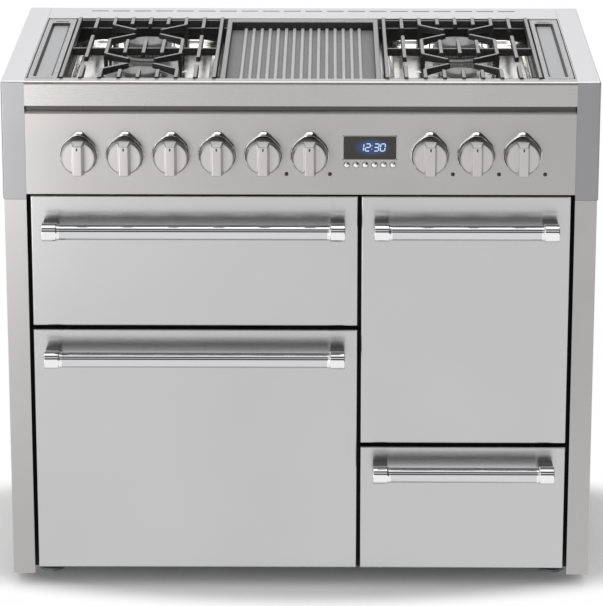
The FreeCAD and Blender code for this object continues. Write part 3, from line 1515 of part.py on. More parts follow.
def griddle_plate():
    """Cast griddle: a shallow tray with side walls, a rear ledge and straight ribs."""
    name = "griddle_plate"
    body = new_body(name)
    width = size("griddle_width")
    length = FIELD_Y[1] - FIELD_Y[0]
    wall_height = size("griddle_floor") + size("griddle_plate")
    base = new_sketch(body, name + "_outline", "XY_Plane")
    rectangle(base, 0, width, 0, length)
    pad(body, name + "_pad", base, wall_height)
    inside = new_sketch(body, name + "_inside", "XY_Plane", offset=wall_height)
    rectangle(
        inside,
        size("griddle_wall"),
        width - size("griddle_wall"),
        0,
        length - size("griddle_rear_wall"),
    )
    pocket(body, name + "_hollow", inside, size("griddle_floor"))
    ribs_width = size("rib_pitch") * (size("rib_count") - 1) + size("rib_width")
    first = (width - ribs_width) / 2
    rib = new_sketch(body, name + "_rib_outline", "XY_Plane", offset=size("griddle_plate"))
    rectangle(
        rib,
        first,
        first + size("rib_width"),
        size("griddle_front"),
        length - size("griddle_rear_wall"),
    )
    raised = pad(body, name + "_rib", rib, size("rib_height"))
    row = body.newObject("PartDesign::LinearPattern", name + "_ribs")
    row.Originals = [raised]
    row.Direction = (rib, ["H_Axis"])
    bind(row, "Length", size("rib_pitch") * (size("rib_count") - 1))
    bind(row, "Occurrences", size("rib_count"))
    body.Tip = row
    place(body, -width / 2, FIELD_MIDDLE - length / 2, TOP - wall_height)
    node(name, body)


def side_tray(name, side):
    """Narrow cast tray beside a pan support, with a recessed top and two feet."""
    x = (TRAY_INSIDE, TRAY_OUTSIDE) if side > 0 else (-TRAY_OUTSIDE, -TRAY_INSIDE)
    y = FIELD_Y
    rim = size("tray_rim")
    low = TOP - size("tray_recess") - size("tray_plate")
    plate = block(name + "_plate", x, y, (low, TOP - SHEET))
    recess = block(
        name + "_recess",
        grown(x, -rim),
        grown(y, -size("tray_end")),
        (TOP - SHEET - size("tray_recess"), TOP),
    )
    foot_z = (HOB_FLOOR + size("lift_gap"), low + SHEET)
    front_foot = block(name + "_front_foot", grown(x, -rim), (y[0] + rim, y[0] + rim * 2), foot_z)
    rear_foot = block(name + "_rear_foot", grown(x, -rim), (y[1] - rim * 2, y[1] - rim), foot_z)
    dished = cut(name + "_dished", plate, recess)
    node(name, fuse(name, dished, front_foot, rear_foot))


# ---------------------------------------------------------------------------------------------
# Building and writing
# ---------------------------------------------------------------------------------------------

def build():
    for label, side in (("left", -1), ("right", 1)):
        side_panel("side_panel_" + label, side)
        side_trim("side_trim_" + label, side)
    hob_front_rail()
    control_panel()
    back_panel()
    base_tray()
    feet()
    front_frame()
    oven_seals()
    hinge_brackets()
    door("grill_door", LEFT_DOOR, (GRILL_DOOR_BOTTOM, DOOR_TOP), size("upper_handle_drop"))
    door("main_door", LEFT_DOOR, (DOOR_BOTTOM, MAIN_DOOR_TOP), size("lower_handle_drop"))
    door("tall_door", RIGHT_DOOR, (TALL_DOOR_BOTTOM, DOOR_TOP), size("upper_handle_drop"))
    drawer()
    drawer_rails()
    oven_cavity("grill_cavity", GRILL_MOUTH, plain_rear)
    oven_cavity("main_oven_cavity", MAIN_MOUTH, fan_rear)
    oven_cavity("tall_oven_cavity", TALL_MOUTH, plain_rear)
    heating_elements()
    racks_and_shelves()
    convection_fan()
    fan_motor()
    knob_bezels()
    for number, x in enumerate(KNOBS, start=1):
        knob(number, x)
    clock_glass()
    for number, x in enumerate(BUTTONS, start=1):
        clock_button(number, x)
    indicator_lamps()
    gas_rail_and_taps()
    hob_top()
    burners()
    for label, side in (("left", -1), ("right", 1)):
        pan_support("pan_support_" + label, side)
        side_tray("side_tray_" + label, side)
    griddle_plate()


def check():
    """Stops with a plain message if anything in the document failed or came out unsound."""
    for made in document.Objects:
        if "Invalid" in made.State or "Error" in made.State:
            raise ValueError("%s failed: %s" % (made.Label, made.State))
    for made in nodes:
        if made.Shape.isNull() or not made.Shape.isValid() or not made.Shape.Solids:
            raise ValueError(made.Label + " has no sound shape")


def write():
    os.makedirs("parts", exist_ok=True)
    for made in nodes:
        made.Shape.exportStep("parts/%s.step" % made.Label)
    print("%d nodes written" % len(nodes))


build()
document.recompute()
check()
write()
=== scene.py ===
# %% [markdown]
# # A range cooker with a double oven
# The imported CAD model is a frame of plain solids. This lesson gives those solids real finishes and
# replaces the parts that need more shape: handles, knobs, burners, cast iron and the hob sheet.
# Everything is in metres, +X to the right, +Y to the back and +Z up.

# %% Load the frame
import json
import math

import bmesh
import bpy
from mathutils import Matrix, Vector


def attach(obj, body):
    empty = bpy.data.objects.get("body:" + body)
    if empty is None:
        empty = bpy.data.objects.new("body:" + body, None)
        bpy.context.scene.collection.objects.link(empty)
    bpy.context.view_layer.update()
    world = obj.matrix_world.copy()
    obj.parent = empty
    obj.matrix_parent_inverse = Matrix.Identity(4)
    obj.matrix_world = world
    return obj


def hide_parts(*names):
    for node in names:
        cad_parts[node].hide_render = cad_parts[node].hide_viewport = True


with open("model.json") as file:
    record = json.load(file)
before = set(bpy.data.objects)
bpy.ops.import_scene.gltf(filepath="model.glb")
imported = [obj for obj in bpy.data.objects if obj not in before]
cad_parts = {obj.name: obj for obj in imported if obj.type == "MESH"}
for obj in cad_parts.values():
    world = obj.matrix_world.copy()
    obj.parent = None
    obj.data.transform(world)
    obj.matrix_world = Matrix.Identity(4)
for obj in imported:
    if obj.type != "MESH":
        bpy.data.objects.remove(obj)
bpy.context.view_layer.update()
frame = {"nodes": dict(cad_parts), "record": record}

nodes = frame["nodes"]

# %% [markdown]
# ## Camera
# The cooker is seen from above and straight on, with a long lens, so its upright lines stay almost
# parallel. Pitching the camera keeps the lens unshifted, and other views can use the same camera.

# %% Camera
MM = 0.001


def make_camera(place, pitch, yaw, lens):
    data = bpy.data.cameras.new("camera")
    data.lens = lens
    data.sensor_width = 36.0
    data.clip_end = 60.0
    camera = bpy.data.objects.new("camera", data)
    camera.location = place
    camera.rotation_euler = (math.radians(90 - pitch), 0.0, math.radians(yaw))
    bpy.context.scene.collection.objects.link(camera)
    bpy.context.scene.camera = camera
    return camera


camera = make_camera(place=(0.0467, -5.771, 2.1659), pitch=16.70, yaw=0.47, lens=201.2)
print("camera at", tuple(round(value, 3) for value in camera.location))

# %% [markdown]
# ## Node helpers
# Every finish is a small graph of nodes. These helpers make a node, set its sockets by name and join
# it, so that each finish below reads as a list of what the surface has.

# %% Node helpers
def add_node(tree, kind, **values):
    node = tree.nodes.new(kind)
    for name, value in values.items():
        setattr(node, name, value)
    return node


def connect(tree, socket, value):
    """Link a socket to another one, or set it to a plain value."""
    if isinstance(value, bpy.types.NodeSocket):
        tree.links.new(value, socket)
    else:
        socket.default_value = value


def feed(tree, node, **inputs):
    """Set or link sockets: a key such as Base_Color is the socket 'Base Color'."""
    for key, value in inputs.items():
        connect(tree, node.inputs[key.replace("_", " ")], value)
    return node


def fill(tree, kind, *inputs, **values):
    """Make a node, set or link its sockets in their order, and give its first output."""
    made = add_node(tree, kind, **values)
    for socket, value in zip(made.inputs, inputs):
        connect(tree, socket, value)
    return made.outputs[0]


def maths(tree, operation, *inputs):
    return fill(tree, "ShaderNodeMath", *inputs, operation=operation)


def length(tree, vector):
    made = add_node(tree, "ShaderNodeVectorMath", operation="LENGTH")
    connect(tree, made.inputs[0], vector)
    return made.outputs["Value"]


def grey(level):
    return (level, level, level, 1.0)


def srgb(code):
    """Linear colour of a written #rrggbb colour."""
    parts = [int(code[i:i + 2], 16) / 255 for i in (1, 3, 5)]
    linear = [p / 12.92 if p <= 0.04045 else ((p + 0.055) / 1.055) ** 2.4 for p in parts]
    return (*linear, 1.0)


def object_coordinates(tree, stretch=(1, 1, 1)):
    place = add_node(tree, "ShaderNodeTexCoord")
    mapping = add_node(tree, "ShaderNodeMapping")
    feed(tree, mapping, Vector=place.outputs["Object"], Scale=stretch)
    return mapping.outputs["Vector"]


def noise(tree, stretch, scale, detail=4.0, rough=0.6):
    texture = add_node(tree, "ShaderNodeTexNoise")
    feed(tree, texture, Vector=object_coordinates(tree, stretch), Scale=scale, Detail=detail, Roughness=rough)
    return texture.outputs["Fac"]


def ramp(tree, source, stops, interpolation="LINEAR"):
    """Colour ramp from (position, colour) stops."""
    made = add_node(tree, "ShaderNodeValToRGB")
    made.color_ramp.interpolation = interpolation
    elements = made.color_ramp.elements
    while len(elements) < len(stops):
        elements.new(0.5)
    for element, (position, colour) in zip(elements, stops):
        element.position = position
        element.color = colour
    feed(tree, made, Fac=source)
    return made.outputs["Color"]


def bump(tree, height, distance, strength=1.0):
    made = add_node(tree, "ShaderNodeBump")
    feed(tree, made, Height=height, Distance=distance, Strength=strength)
    return made.outputs["Normal"]


def spread(tree, source, low=0.0, high=1.0, begin=0.0, end=1.0, kind="LINEAR"):
    """Map a value that runs from begin to end onto low to high."""
    made = add_node(tree, "ShaderNodeMapRange", interpolation_type=kind)
    feed(tree, made, Value=source, From_Min=begin, From_Max=end, To_Min=low, To_Max=high)
    return made.outputs["Result"]


COLOUR_MIX_INPUTS = (0, 6, 7)
COLOUR_MIX_OUTPUT = 2


def blend(tree, share, low, high):
    """Mix two colours, each a socket or a value."""
    made = add_node(tree, "ShaderNodeMix", data_type="RGBA")
    for index, value in zip(COLOUR_MIX_INPUTS, (share, low, high)):
        connect(tree, made.inputs[index], value)
    return made.outputs[COLOUR_MIX_OUTPUT]


def seen_or_mirrored(tree):
    """1 for rays from the camera, off a mirror or through glass, and 0 for soft light."""
    rays = add_node(tree, "ShaderNodeLightPath").outputs
    seen = maths(tree, "MAXIMUM", rays["Is Camera Ray"], rays["Is Glossy Ray"])
    return maths(tree, "MAXIMUM", seen, rays["Is Transmission Ray"])


def new_finish(name):
    material = bpy.data.materials.new(name)
    material.use_nodes = True
    tree = material.node_tree
    shader = tree.nodes["Principled BSDF"]
    return material, tree, shader


# %% [markdown]
# ## Room and light
# A plain studio: a pale floor, a world that is white where the camera and polished metal see it,
# and two soft lamps. Chrome shows bands because a studio is dark above the camera and bright overhead,
# so the world has those bands, by angle over the cooker from front to back.

# %% World
# degrees above the front horizon, and how bright the studio is there
BANDS = (
    (-180, 1.0), (18, 1.0), (22, 0.06), (37, 0.05), (40, 0.75), (49, 0.75), (52, 0.05), (66, 0.05),
    (72, 1.0), (180, 1.0),
)
# where along X the bright screen and the dark flag set in, and their levels
LEFT_SCREEN = (-0.30, -0.45, 1.0)
RIGHT_FLAG = (0.32, 0.45, 0.03)
ROOM_LEVEL = 0.75


def make_world():
    world = bpy.data.worlds.new("studio")
    world.use_nodes = True
    tree = world.node_tree
    tree.nodes.clear()
    place = add_node(tree, "ShaderNodeTexCoord")
    split = feed(tree, add_node(tree, "ShaderNodeSeparateXYZ"), Vector=place.outputs["Generated"])
    front = maths(tree, "MULTIPLY", split.outputs["Y"], -1.0)
    angle = maths(tree, "ARCTAN2", split.outputs["Z"], front)
    turn = spread(tree, angle, begin=-math.pi, end=math.pi)
    seen = ramp(tree, turn, [(0.5 + degrees / 360, grey(level)) for degrees, level in BANDS])
    for begin, end, level in (LEFT_SCREEN, RIGHT_FLAG):
        side = spread(tree, split.outputs["X"], begin=begin, end=end, kind="SMOOTHSTEP")
        seen = blend(tree, side, seen, grey(level))
    light = feed(tree, add_node(tree, "ShaderNodeBackground"), Color=grey(1.0), Strength=ROOM_LEVEL)
    shown = feed(tree, add_node(tree, "ShaderNodeBackground"), Color=seen, Strength=1.0)
    mixed = fill(tree, "ShaderNodeMixShader", seen_or_mirrored(tree), light.outputs[0], shown.outputs[0])
    feed(tree, add_node(tree, "ShaderNodeOutputWorld"), Surface=mixed)
    bpy.context.scene.world = world


make_world()
bpy.context.scene.view_settings.view_transform = "Standard"


# %% [markdown]
# ## Lamps
# Two soft boxes: one low at the left, which gives the steel its fall of light from left to right, and
# one overhead for the iron. They are large, so their shadows are soft. They are hidden from the camera,
# but polished metal still mirrors them.

# %% Lamps
def softbox(name, place, target, size, power):
    data = bpy.data.lights.new(name, "AREA")
    data.shape = "RECTANGLE"
    data.size, data.size_y = size
    data.energy = power
    lamp = bpy.data.objects.new(name, data)
    lamp.visible_camera = False
    lamp.location = place
    lamp.rotation_euler = (Vector(target) - Vector(place)).to_track_quat("-Z", "Y").to_euler()
    bpy.context.scene.collection.objects.link(lamp)


softbox("key_lamp", place=(-1.3, -2.3, 0.55), target=(0.0, -0.27, 0.7), size=(1.0, 1.0), power=13)
softbox("top_lamp", place=(0.0, 0.3, 3.2), target=(0.0, 0.0, 0.9), size=(2.4, 1.6), power=20)


# %% [markdown]
# ## Floor
# The floor is matt and pale, and it keeps the soft shadow under the cooker. Away from the cooker it
# fades to plain white for the camera and for mirrors, so the background is even.

# %% Floor
FLOOR_RADIUS = 14.0
FLOOR_STRETCH = (0.45, 1.0, 1.0)
SHADOW_FADE = (0.30, 0.385)


def make_floor():
    bm = bmesh.new()
    bmesh.ops.create_circle(bm, cap_ends=True, segments=64, radius=FLOOR_RADIUS)
    mesh = bpy.data.meshes.new("floor")
    bm.to_mesh(mesh)
    bm.free()
    floor = bpy.data.objects.new("floor", mesh)
    bpy.context.scene.collection.objects.link(floor)
    material, tree, shader = new_finish("floor_paint")
    feed(tree, shader, Base_Color=grey(0.93), Roughness=0.9, Specular_IOR_Level=0.1)
    far = length(tree, object_coordinates(tree, FLOOR_STRETCH))
    begin, end = SHADOW_FADE
    fade = spread(tree, far, begin=begin, end=end, kind="SMOOTHSTEP")
    share = maths(tree, "MULTIPLY", fade, seen_or_mirrored(tree))
    white = feed(tree, add_node(tree, "ShaderNodeEmission"), Color=grey(1.0), Strength=1.0)
    mixed = fill(tree, "ShaderNodeMixShader", share, shader.outputs[0], white.outputs[0])
    feed(tree, tree.nodes["Material Output"], Surface=mixed)
    mesh.materials.append(material)


make_floor()


# %% [markdown]
# ## Finishes
# The metals differ in grain, polish and tone. Grain is noise stretched along the rolling direction;
# it moves the roughness a little and bends the normal by hundredths of a millimetre.

# %% Steel finishes
TONE_EDGE = 0.002


def brushed_metal(name, colour, roughness, grain_stretch, depth, tone=0.04, blotch=3.0, painted_lit_top=None):
    material, tree, shader = new_finish(name)
    grain = noise(tree, grain_stretch, 900.0, detail=3.0)
    cloud = noise(tree, (1, 1, 1), blotch, detail=2.0)
    low = tuple(c * (1 - tone) for c in colour[:3]) + (1.0,)
    high = tuple(min(c * (1 + tone), 1.0) for c in colour[:3]) + (1.0,)
    base = ramp(tree, cloud, [(0.35, low), (0.65, high)])
    # a paler colour above a height: painted light on the top faces
    if painted_lit_top:
        lit_top_colour, level = painted_lit_top
        split = feed(tree, add_node(tree, "ShaderNodeSeparateXYZ"), Vector=object_coordinates(tree))
        above = spread(tree, split.outputs["Z"], begin=level - TONE_EDGE, end=level)
        base = blend(tree, above, base, lit_top_colour)
    feed(tree, shader, Metallic=1.0, Base_Color=base)
    feed(tree, shader, Roughness=spread(tree, grain, roughness * 0.85, roughness * 1.15))
    feed(tree, shader, Normal=bump(tree, grain, depth))
    return material


ACROSS = (0.02, 1.0, 1.0)
UPRIGHT = (1.0, 1.0, 0.02)
brushed_steel = brushed_metal("brushed_steel", srgb("#B0AEAC"), 0.34, ACROSS, 0.00002)
upright_steel = brushed_metal("upright_steel", srgb("#B0AEAD"), 0.36, UPRIGHT, 0.00002)
# painted highlight on the trims' top faces, where the overhead light falls
TRIM_TOP_PAINTED_LIGHT = (srgb("#DADADD"), 0.899)
trim_steel = brushed_metal("trim_steel", srgb("#979698"), 0.36, UPRIGHT, 0.00002, painted_lit_top=TRIM_TOP_PAINTED_LIGHT)
rail_steel = brushed_metal("rail_steel", srgb("#B6B4B2"), 0.28, ACROSS, 0.00002)
door_steel = brushed_metal("door_steel", srgb("#C2C2C2"), 0.23, ACROSS, 0.00001, tone=0.015)
hob_steel = brushed_metal("hob_steel", srgb("#D8D8DA"), 0.3, ACROSS, 0.00001, tone=0.02)
plated_steel = brushed_metal("plated_steel", srgb("#A9ABAE"), 0.42, (1, 1, 1), 0.00003, tone=0.10,
                             blotch=14.0)


# %% [markdown]
# ## Polished and cast finishes
# Chrome is almost a mirror, so only a faint haze varies its roughness. Cast iron has a sandy skin:
# fine noise mixes two tones, roughens the shine and bends the normal.

# %% Polished and cast finishes
def polished_metal(name, colour, roughness, wave=0.0, wave_scale=8.0):
    material, tree, shader = new_finish(name)
    haze = noise(tree, (1, 1, 1), 40.0, detail=3.0)
    feed(tree, shader, Metallic=1.0, Base_Color=colour)
    feed(tree, shader, Roughness=spread(tree, haze, roughness * 0.6, roughness * 1.4))
    if wave:
        feed(tree, shader, Normal=bump(tree, noise(tree, (1, 1, 1), wave_scale, detail=1.0), wave))
    return material


def speckled(name, dark, light, roughness, depth, grain=420.0):
    """Cast metal: fine bright and dark specks with a rough skin."""
    material, tree, shader = new_finish(name)
    fine = noise(tree, (1, 1, 1), grain, detail=5.0, rough=0.7)
    feed(tree, shader, Base_Color=ramp(tree, fine, [(0.38, dark), (0.62, light)]))
    feed(tree, shader, Roughness=spread(tree, fine, roughness * 0.85, roughness * 1.15))
    feed(tree, shader, Normal=bump(tree, fine, depth))
    return material


chrome = polished_metal("chrome", srgb("#EDEDEE"), 0.06)
bar_steel = polished_metal("bar_steel", srgb("#D2D2D4"), 0.08)
mirror_steel = polished_metal("mirror_steel", srgb("#F4F2EE"), 0.20, wave=0.0012, wave_scale=9.0)
# dark grey: painted shade on the upper rear wall of the hob
upper_wall_painted_shade = speckled("upper_wall_painted_shade", srgb("#6C6664"), srgb("#7C7674"), 0.5, 0.00002)
# a pale copy of the knob metal: painted light on the grips' top faces
grip_top_painted_light = brushed_metal("grip_top_painted_light", grey(0.96), 0.55, ACROSS, 0.00001, tone=0.01)
knob_metal = brushed_metal("knob_metal", srgb("#BFBDBB"), 0.30, ACROSS, 0.00001)
# pale specks for the tops of cast iron: painted sheen of the light from above
iron_top_painted_sheen = speckled("iron_top_painted_sheen", grey(0.16), grey(0.42), 0.42, 0.00025)
iron_side = speckled("iron_side", grey(0.006), grey(0.028), 0.45, 0.0002)
dark_enamel = speckled("dark_enamel", grey(0.012), grey(0.03), 0.22, 0.00006, grain=700.0)
burner_alloy = speckled("burner_alloy", grey(0.20), grey(0.34), 0.45, 0.0001)
cap_enamel = speckled("cap_enamel", grey(0.16), grey(0.25), 0.38, 0.00006)
griddle_iron = speckled("griddle_iron", grey(0.12), grey(0.23), 0.5, 0.00015)
element_steel = speckled("element_steel", grey(0.10), grey(0.16), 0.5, 0.00006)
motor_paint = speckled("motor_paint", grey(0.05), grey(0.07), 0.5, 0.00006)
seal_rubber = speckled("seal_rubber", grey(0.02), grey(0.03), 0.8, 0.0001)
gas_brass = polished_metal("gas_brass", srgb("#C8A860"), 0.3)
fan_aluminium = brushed_metal("fan_aluminium", srgb("#C4C6C8"), 0.35, (1, 1, 1), 0.00002)


def dark_lens(name, colour, roughness):
    material, tree, shader = new_finish(name)
    haze = noise(tree, (1, 1, 1), 60.0)
    feed(tree, shader, Base_Color=colour, Roughness=spread(tree, haze, roughness * 0.8, roughness * 1.2))
    return material


def add_painted_glow(material, colour, middle, reach, strength):
    """A painted glow round a place on the surface, for the light that a lit display spreads in its glass."""
    tree = material.node_tree
    away = fill(tree, "ShaderNodeVectorMath", object_coordinates(tree), middle, operation="SUBTRACT")
    scaled = fill(tree, "ShaderNodeVectorMath", away, reach, operation="DIVIDE")
    glow = spread(tree, length(tree, scaled), strength, 0.0, begin=0.45, kind="SMOOTHSTEP")
    feed(tree, tree.nodes["Principled BSDF"], Emission_Color=colour, Emission_Strength=glow)


clock_glass = dark_lens("clock_glass", srgb("#2A2624"), 0.12)
GLOW_MIDDLE = (0.1195, -0.2725, 0.788)
GLOW_REACH = (0.034, 0.05, 0.0165)
add_painted_glow(clock_glass, srgb("#2A5AB0"), GLOW_MIDDLE, GLOW_REACH, 0.32)
lamp_lens = dark_lens("lamp_lens", srgb("#2A1C1C"), 0.25)

post_metal = speckled("post_metal", grey(0.07), grey(0.11), 0.5, 0.00006)
black_mark = speckled("black_mark", grey(0.004), grey(0.012), 0.4, 0.00002)
# near black: painted shade on the lower rear wall of the hob, under the ledge
rear_wall_painted_shade = brushed_metal("rear_wall_painted_shade", grey(0.05), 0.45, ACROSS, 0.00002)
# paler copy of the griddle iron: painted light on the raised ribs
rib_painted_light = speckled("rib_painted_light", grey(0.34), grey(0.56), 0.4, 0.00012)
tray_enamel = speckled("tray_enamel", srgb("#9EA0A2"), srgb("#ACAEB0"), 0.35, 0.00004)
# pale specks for the tray tops: painted sheen of the light from above
tray_rim = speckled("tray_rim", grey(0.26), grey(0.56), 0.40, 0.0002)
ceramic = speckled("ceramic", grey(0.72), grey(0.82), 0.35, 0.00003)


def light_strip(name, colour, strength):
    material, tree, shader = new_finish(name)
    cloud = noise(tree, (1, 1, 1), 300.0, detail=1.0)
    feed(tree, shader, Base_Color=grey(0.02), Roughness=0.3, Emission_Color=colour)
    feed(tree, shader, Emission_Strength=spread(tree, cloud, strength * 0.9, strength * 1.1))
    return material


figure_light = light_strip("figure_light", srgb("#C2DCFF"), 1.1)
# mid grey: painted shade for the sheet in the gap under the rail
rail_gap_painted_shade = brushed_metal("rail_gap_painted_shade", srgb("#585655"), 0.5, ACROSS, 0.00001)
# near black: painted shade in the gaps between the doors, on the frame behind them
frame_painted_shade = brushed_metal("frame_painted_shade", grey(0.02), 0.5, ACROSS, 0.00001)

# %% [markdown]
# ## Finishes for the CAD nodes
# Each CAD node names what it is made of, and a table turns that name into a finish. A few nodes have
# their own: the frame behind the doors is near black, painted shade, and the corner trims are darker
# than the side panels, with a painted highlight on their top faces.

# %% Finishes for the CAD nodes
finish_of_slot = {
    "brushed_steel": brushed_steel, "door_steel": door_steel, "hob_steel": hob_steel,
    "plated_steel": plated_steel, "chrome": chrome, "knob_metal": knob_metal, "dark_enamel": dark_enamel,
    "cast_iron": iron_top_painted_sheen, "burner_alloy": burner_alloy, "cap_enamel": cap_enamel,
    "clock_glass": clock_glass, "lamp_lens": lamp_lens, "seal_rubber": seal_rubber,
    "element_steel": element_steel, "gas_brass": gas_brass, "motor_paint": motor_paint,
    "fan_aluminium": fan_aluminium,
}
finish_of_node = {
    "side_panel_left": upright_steel, "side_panel_right": upright_steel, "side_trim_left": trim_steel,
    "side_trim_right": trim_steel, "hob_front_rail": rail_steel, "front_frame": frame_painted_shade,
}
slot_of_node = {item["node"]: item["material_slot"] for item in frame["record"]["subparts"]}
for name, node in nodes.items():
    finish = finish_of_slot[slot_of_node[name]]
    finish = finish_of_node.get(name, finish)
    for place in node.material_slots:
        place.material = finish
print("finished nodes:", len(nodes))

# %% [markdown]
# ## Modelling helpers
# New parts start from simple bmesh shapes: a cube that is scaled and bevelled, or a profile that is
# spun round an axis. Faces added by a helper are found again by what was there before it ran.

# %% Modelling helpers
def new_parts(bm, before):
    """Vertices, edges and faces that a helper has added since before."""
    verts = [v for v in bm.verts if v not in before]
    edges = {e for v in verts for e in v.link_edges}
    faces = {f for v in verts for f in v.link_faces}
    return verts, list(edges), list(faces)


def paint(bm, before, index):
    for face in new_parts(bm, before)[2]:
        face.material_index = index


def edges_of(verts):
    return list({e for v in verts for e in v.link_edges})


def only_verts(geom):
    return [g for g in geom if isinstance(g, bmesh.types.BMVert)]


def soften(bm, geom, offset, segments, affect="EDGES"):
    """Bevel edges, or round off corners with affect VERTICES, by an offset in millimetres."""
    bmesh.ops.bevel(bm, geom=geom, offset=offset * MM, offset_type="OFFSET", segments=segments, profile=0.5,
                    affect=affect, material=-1, clamp_overlap=True)


def face_upwards(bm):
    """Give all faces one side, which looks up on the whole."""
    bmesh.ops.recalc_face_normals(bm, faces=list(bm.faces))
    if sum(f.normal.z * f.calc_area() for f in bm.faces) < 0:
        bmesh.ops.reverse_faces(bm, faces=list(bm.faces))


def rounded_cell(bm, x, y, corner, steps):
    """A flat face with rounded corners round the origin, from one grid cell."""
    verts = bmesh.ops.create_grid(bm, x_segments=1, y_segments=1, size=0.5)["verts"]
    bmesh.ops.scale(bm, verts=verts, vec=((x[1] - x[0]) * MM, (y[1] - y[0]) * MM, 1.0))
    soften(bm, verts, corner, steps, "VERTICES")


def block(bm, low, high, rounding=0.0, segments=2, index=0):
    """A box between two corners, in millimetres; index picks one of the finishes of its piece."""
    before = set(bm.verts)
    verts = bmesh.ops.create_cube(bm, size=1.0)["verts"]
    size = [(h - l) * MM for l, h in zip(low, high)]
    middle = [(h + l) / 2 * MM for l, h in zip(low, high)]
    bmesh.ops.scale(bm, vec=size, verts=verts)
    bmesh.ops.translate(bm, vec=middle, verts=verts)
    if rounding:
        soften(bm, new_parts(bm, before)[1], rounding, segments)
    paint(bm, before, index)
    return new_parts(bm, before)[0]


def turned(bm, profile, steps=48):
    """Spin (radius, height) points, in millimetres, round the Z axis; returns its vertices."""
    before = set(bm.verts)
    line = [bm.verts.new((radius * MM, 0.0, height * MM)) for radius, height in profile]
    edges = [bm.edges.new(pair) for pair in zip(line, line[1:])]
    bmesh.ops.spin(bm, geom=line + edges, cent=(0, 0, 0), axis=(0, 0, 1), dvec=(0, 0, 0),
                   angle=2 * math.pi, steps=steps, use_merge=True, use_duplicate=False)
    verts = new_parts(bm, before)[0]
    bmesh.ops.remove_doubles(bm, verts=verts, dist=0.00001)
    verts, _, faces = new_parts(bm, before)
    bmesh.ops.recalc_face_normals(bm, faces=faces)
    return verts


def place_at(bm, verts, x, y, z, turn=None):
    if turn is not None:
        bmesh.ops.rotate(bm, verts=verts, cent=(0, 0, 0), matrix=turn)
    bmesh.ops.translate(bm, verts=verts, vec=(x * MM, y * MM, z * MM))


FACING_FRONT = Matrix.Rotation(math.radians(90), 3, "X")
ALONG_X = Matrix.Rotation(math.radians(90), 3, "Y")


def finish_piece(name, bm, finishes, body, replaced=(), sharp=32.0):
    """Turn a bmesh into an object at the origin that rides on a CAD body."""
    mesh = bpy.data.meshes.new(name)
    bm.to_mesh(mesh)
    bm.free()
    for finish in finishes:
        mesh.materials.append(finish)
    mesh.polygons.foreach_set("use_smooth", [True] * len(mesh.polygons))
    mesh.set_sharp_from_angle(angle=math.radians(sharp))
    piece = bpy.data.objects.new(name, mesh)
    bpy.context.scene.collection.objects.link(piece)
    flat = piece.modifiers.new("flat_faces_stay_flat", "WEIGHTED_NORMAL")
    flat.keep_sharp = True
    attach(piece, body)
    if replaced:
        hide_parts(*replaced)
    print(name, len(mesh.polygons), "faces")
    return piece


# %% [markdown]
# ## Handles
# Each handle is a chromed tube held between two heavier end pieces, and each end piece stands on a
# square post. The tube and its ends are one turned profile; the posts are blocks with softened edges.

# %% Handles
BAR_RADIUS = 13.0
CAP_RADIUS = 15.5
CAP_LENGTH = 25.0
RING_LENGTH = 5.0
HANDLE_Y = -313.5
DOOR_FACE = -271.0
POST_HALF = 10.0
POST_INSET = 0.4
POST_START = HANDLE_Y + 6


def handle_end(low):
    """Profile of the left end of a handle: cap, narrow ring, then the tube."""
    return [
        (0.0, low), (CAP_RADIUS - 1.6, low), (CAP_RADIUS - 0.6, low + 0.4), (CAP_RADIUS, low + 1.4),
        (CAP_RADIUS, low + CAP_LENGTH - 1.2), (CAP_RADIUS - 0.8, low + CAP_LENGTH),
        (CAP_RADIUS - 1.2, low + CAP_LENGTH + 0.3), (CAP_RADIUS - 1.3, low + CAP_LENGTH + 1.5),
        (BAR_RADIUS, low + CAP_LENGTH + RING_LENGTH),
    ]


def make_handle(name, ends, z, body, node):
    low, high = ends
    left = handle_end(low)
    right = [(radius, low + high - along) for radius, along in reversed(left)]
    bm = bmesh.new()
    verts = turned(bm, left + right, steps=64)
    place_at(bm, verts, 0, HANDLE_Y, z, ALONG_X)
    tube = ((low + CAP_LENGTH + RING_LENGTH - 0.1) * MM, (high - CAP_LENGTH - RING_LENGTH + 0.1) * MM)
    for face in bm.faces:
        if tube[0] < face.calc_center_median().x < tube[1]:
            face.material_index = 2
    for post_low in (low, high - CAP_LENGTH):
        front = (post_low + POST_INSET, POST_START, z - POST_HALF)
        back = (post_low + CAP_LENGTH - POST_INSET, DOOR_FACE, z + POST_HALF)
        block(bm, front, back, rounding=1.0, index=1)
    return finish_piece(name, bm, [chrome, post_metal, bar_steel], body, [node])


LEFT_HANDLE = (-433.0, 75.0)
RIGHT_HANDLE = (124.0, 433.0)
make_handle("grill_door_bar", LEFT_HANDLE, 651.0, "grill_door", "grill_door_handle")
make_handle("main_door_bar", LEFT_HANDLE, 427.0, "main_door", "main_door_handle")
make_handle("tall_door_bar", RIGHT_HANDLE, 651.0, "tall_door", "tall_door_handle")
make_handle("drawer_bar", RIGHT_HANDLE, 222.0, "drawer", "drawer_handle")

# %% [markdown]
# ## Knobs and bezels
# A knob is a turned disc with a shallow groove and a bar grip whose sides lean inwards. It sits in a
# polished drop-shaped bezel. The drop outline is the hull of two circles, and its face falls towards
# the knob, which gives the bright rim with a dark arc inside it.

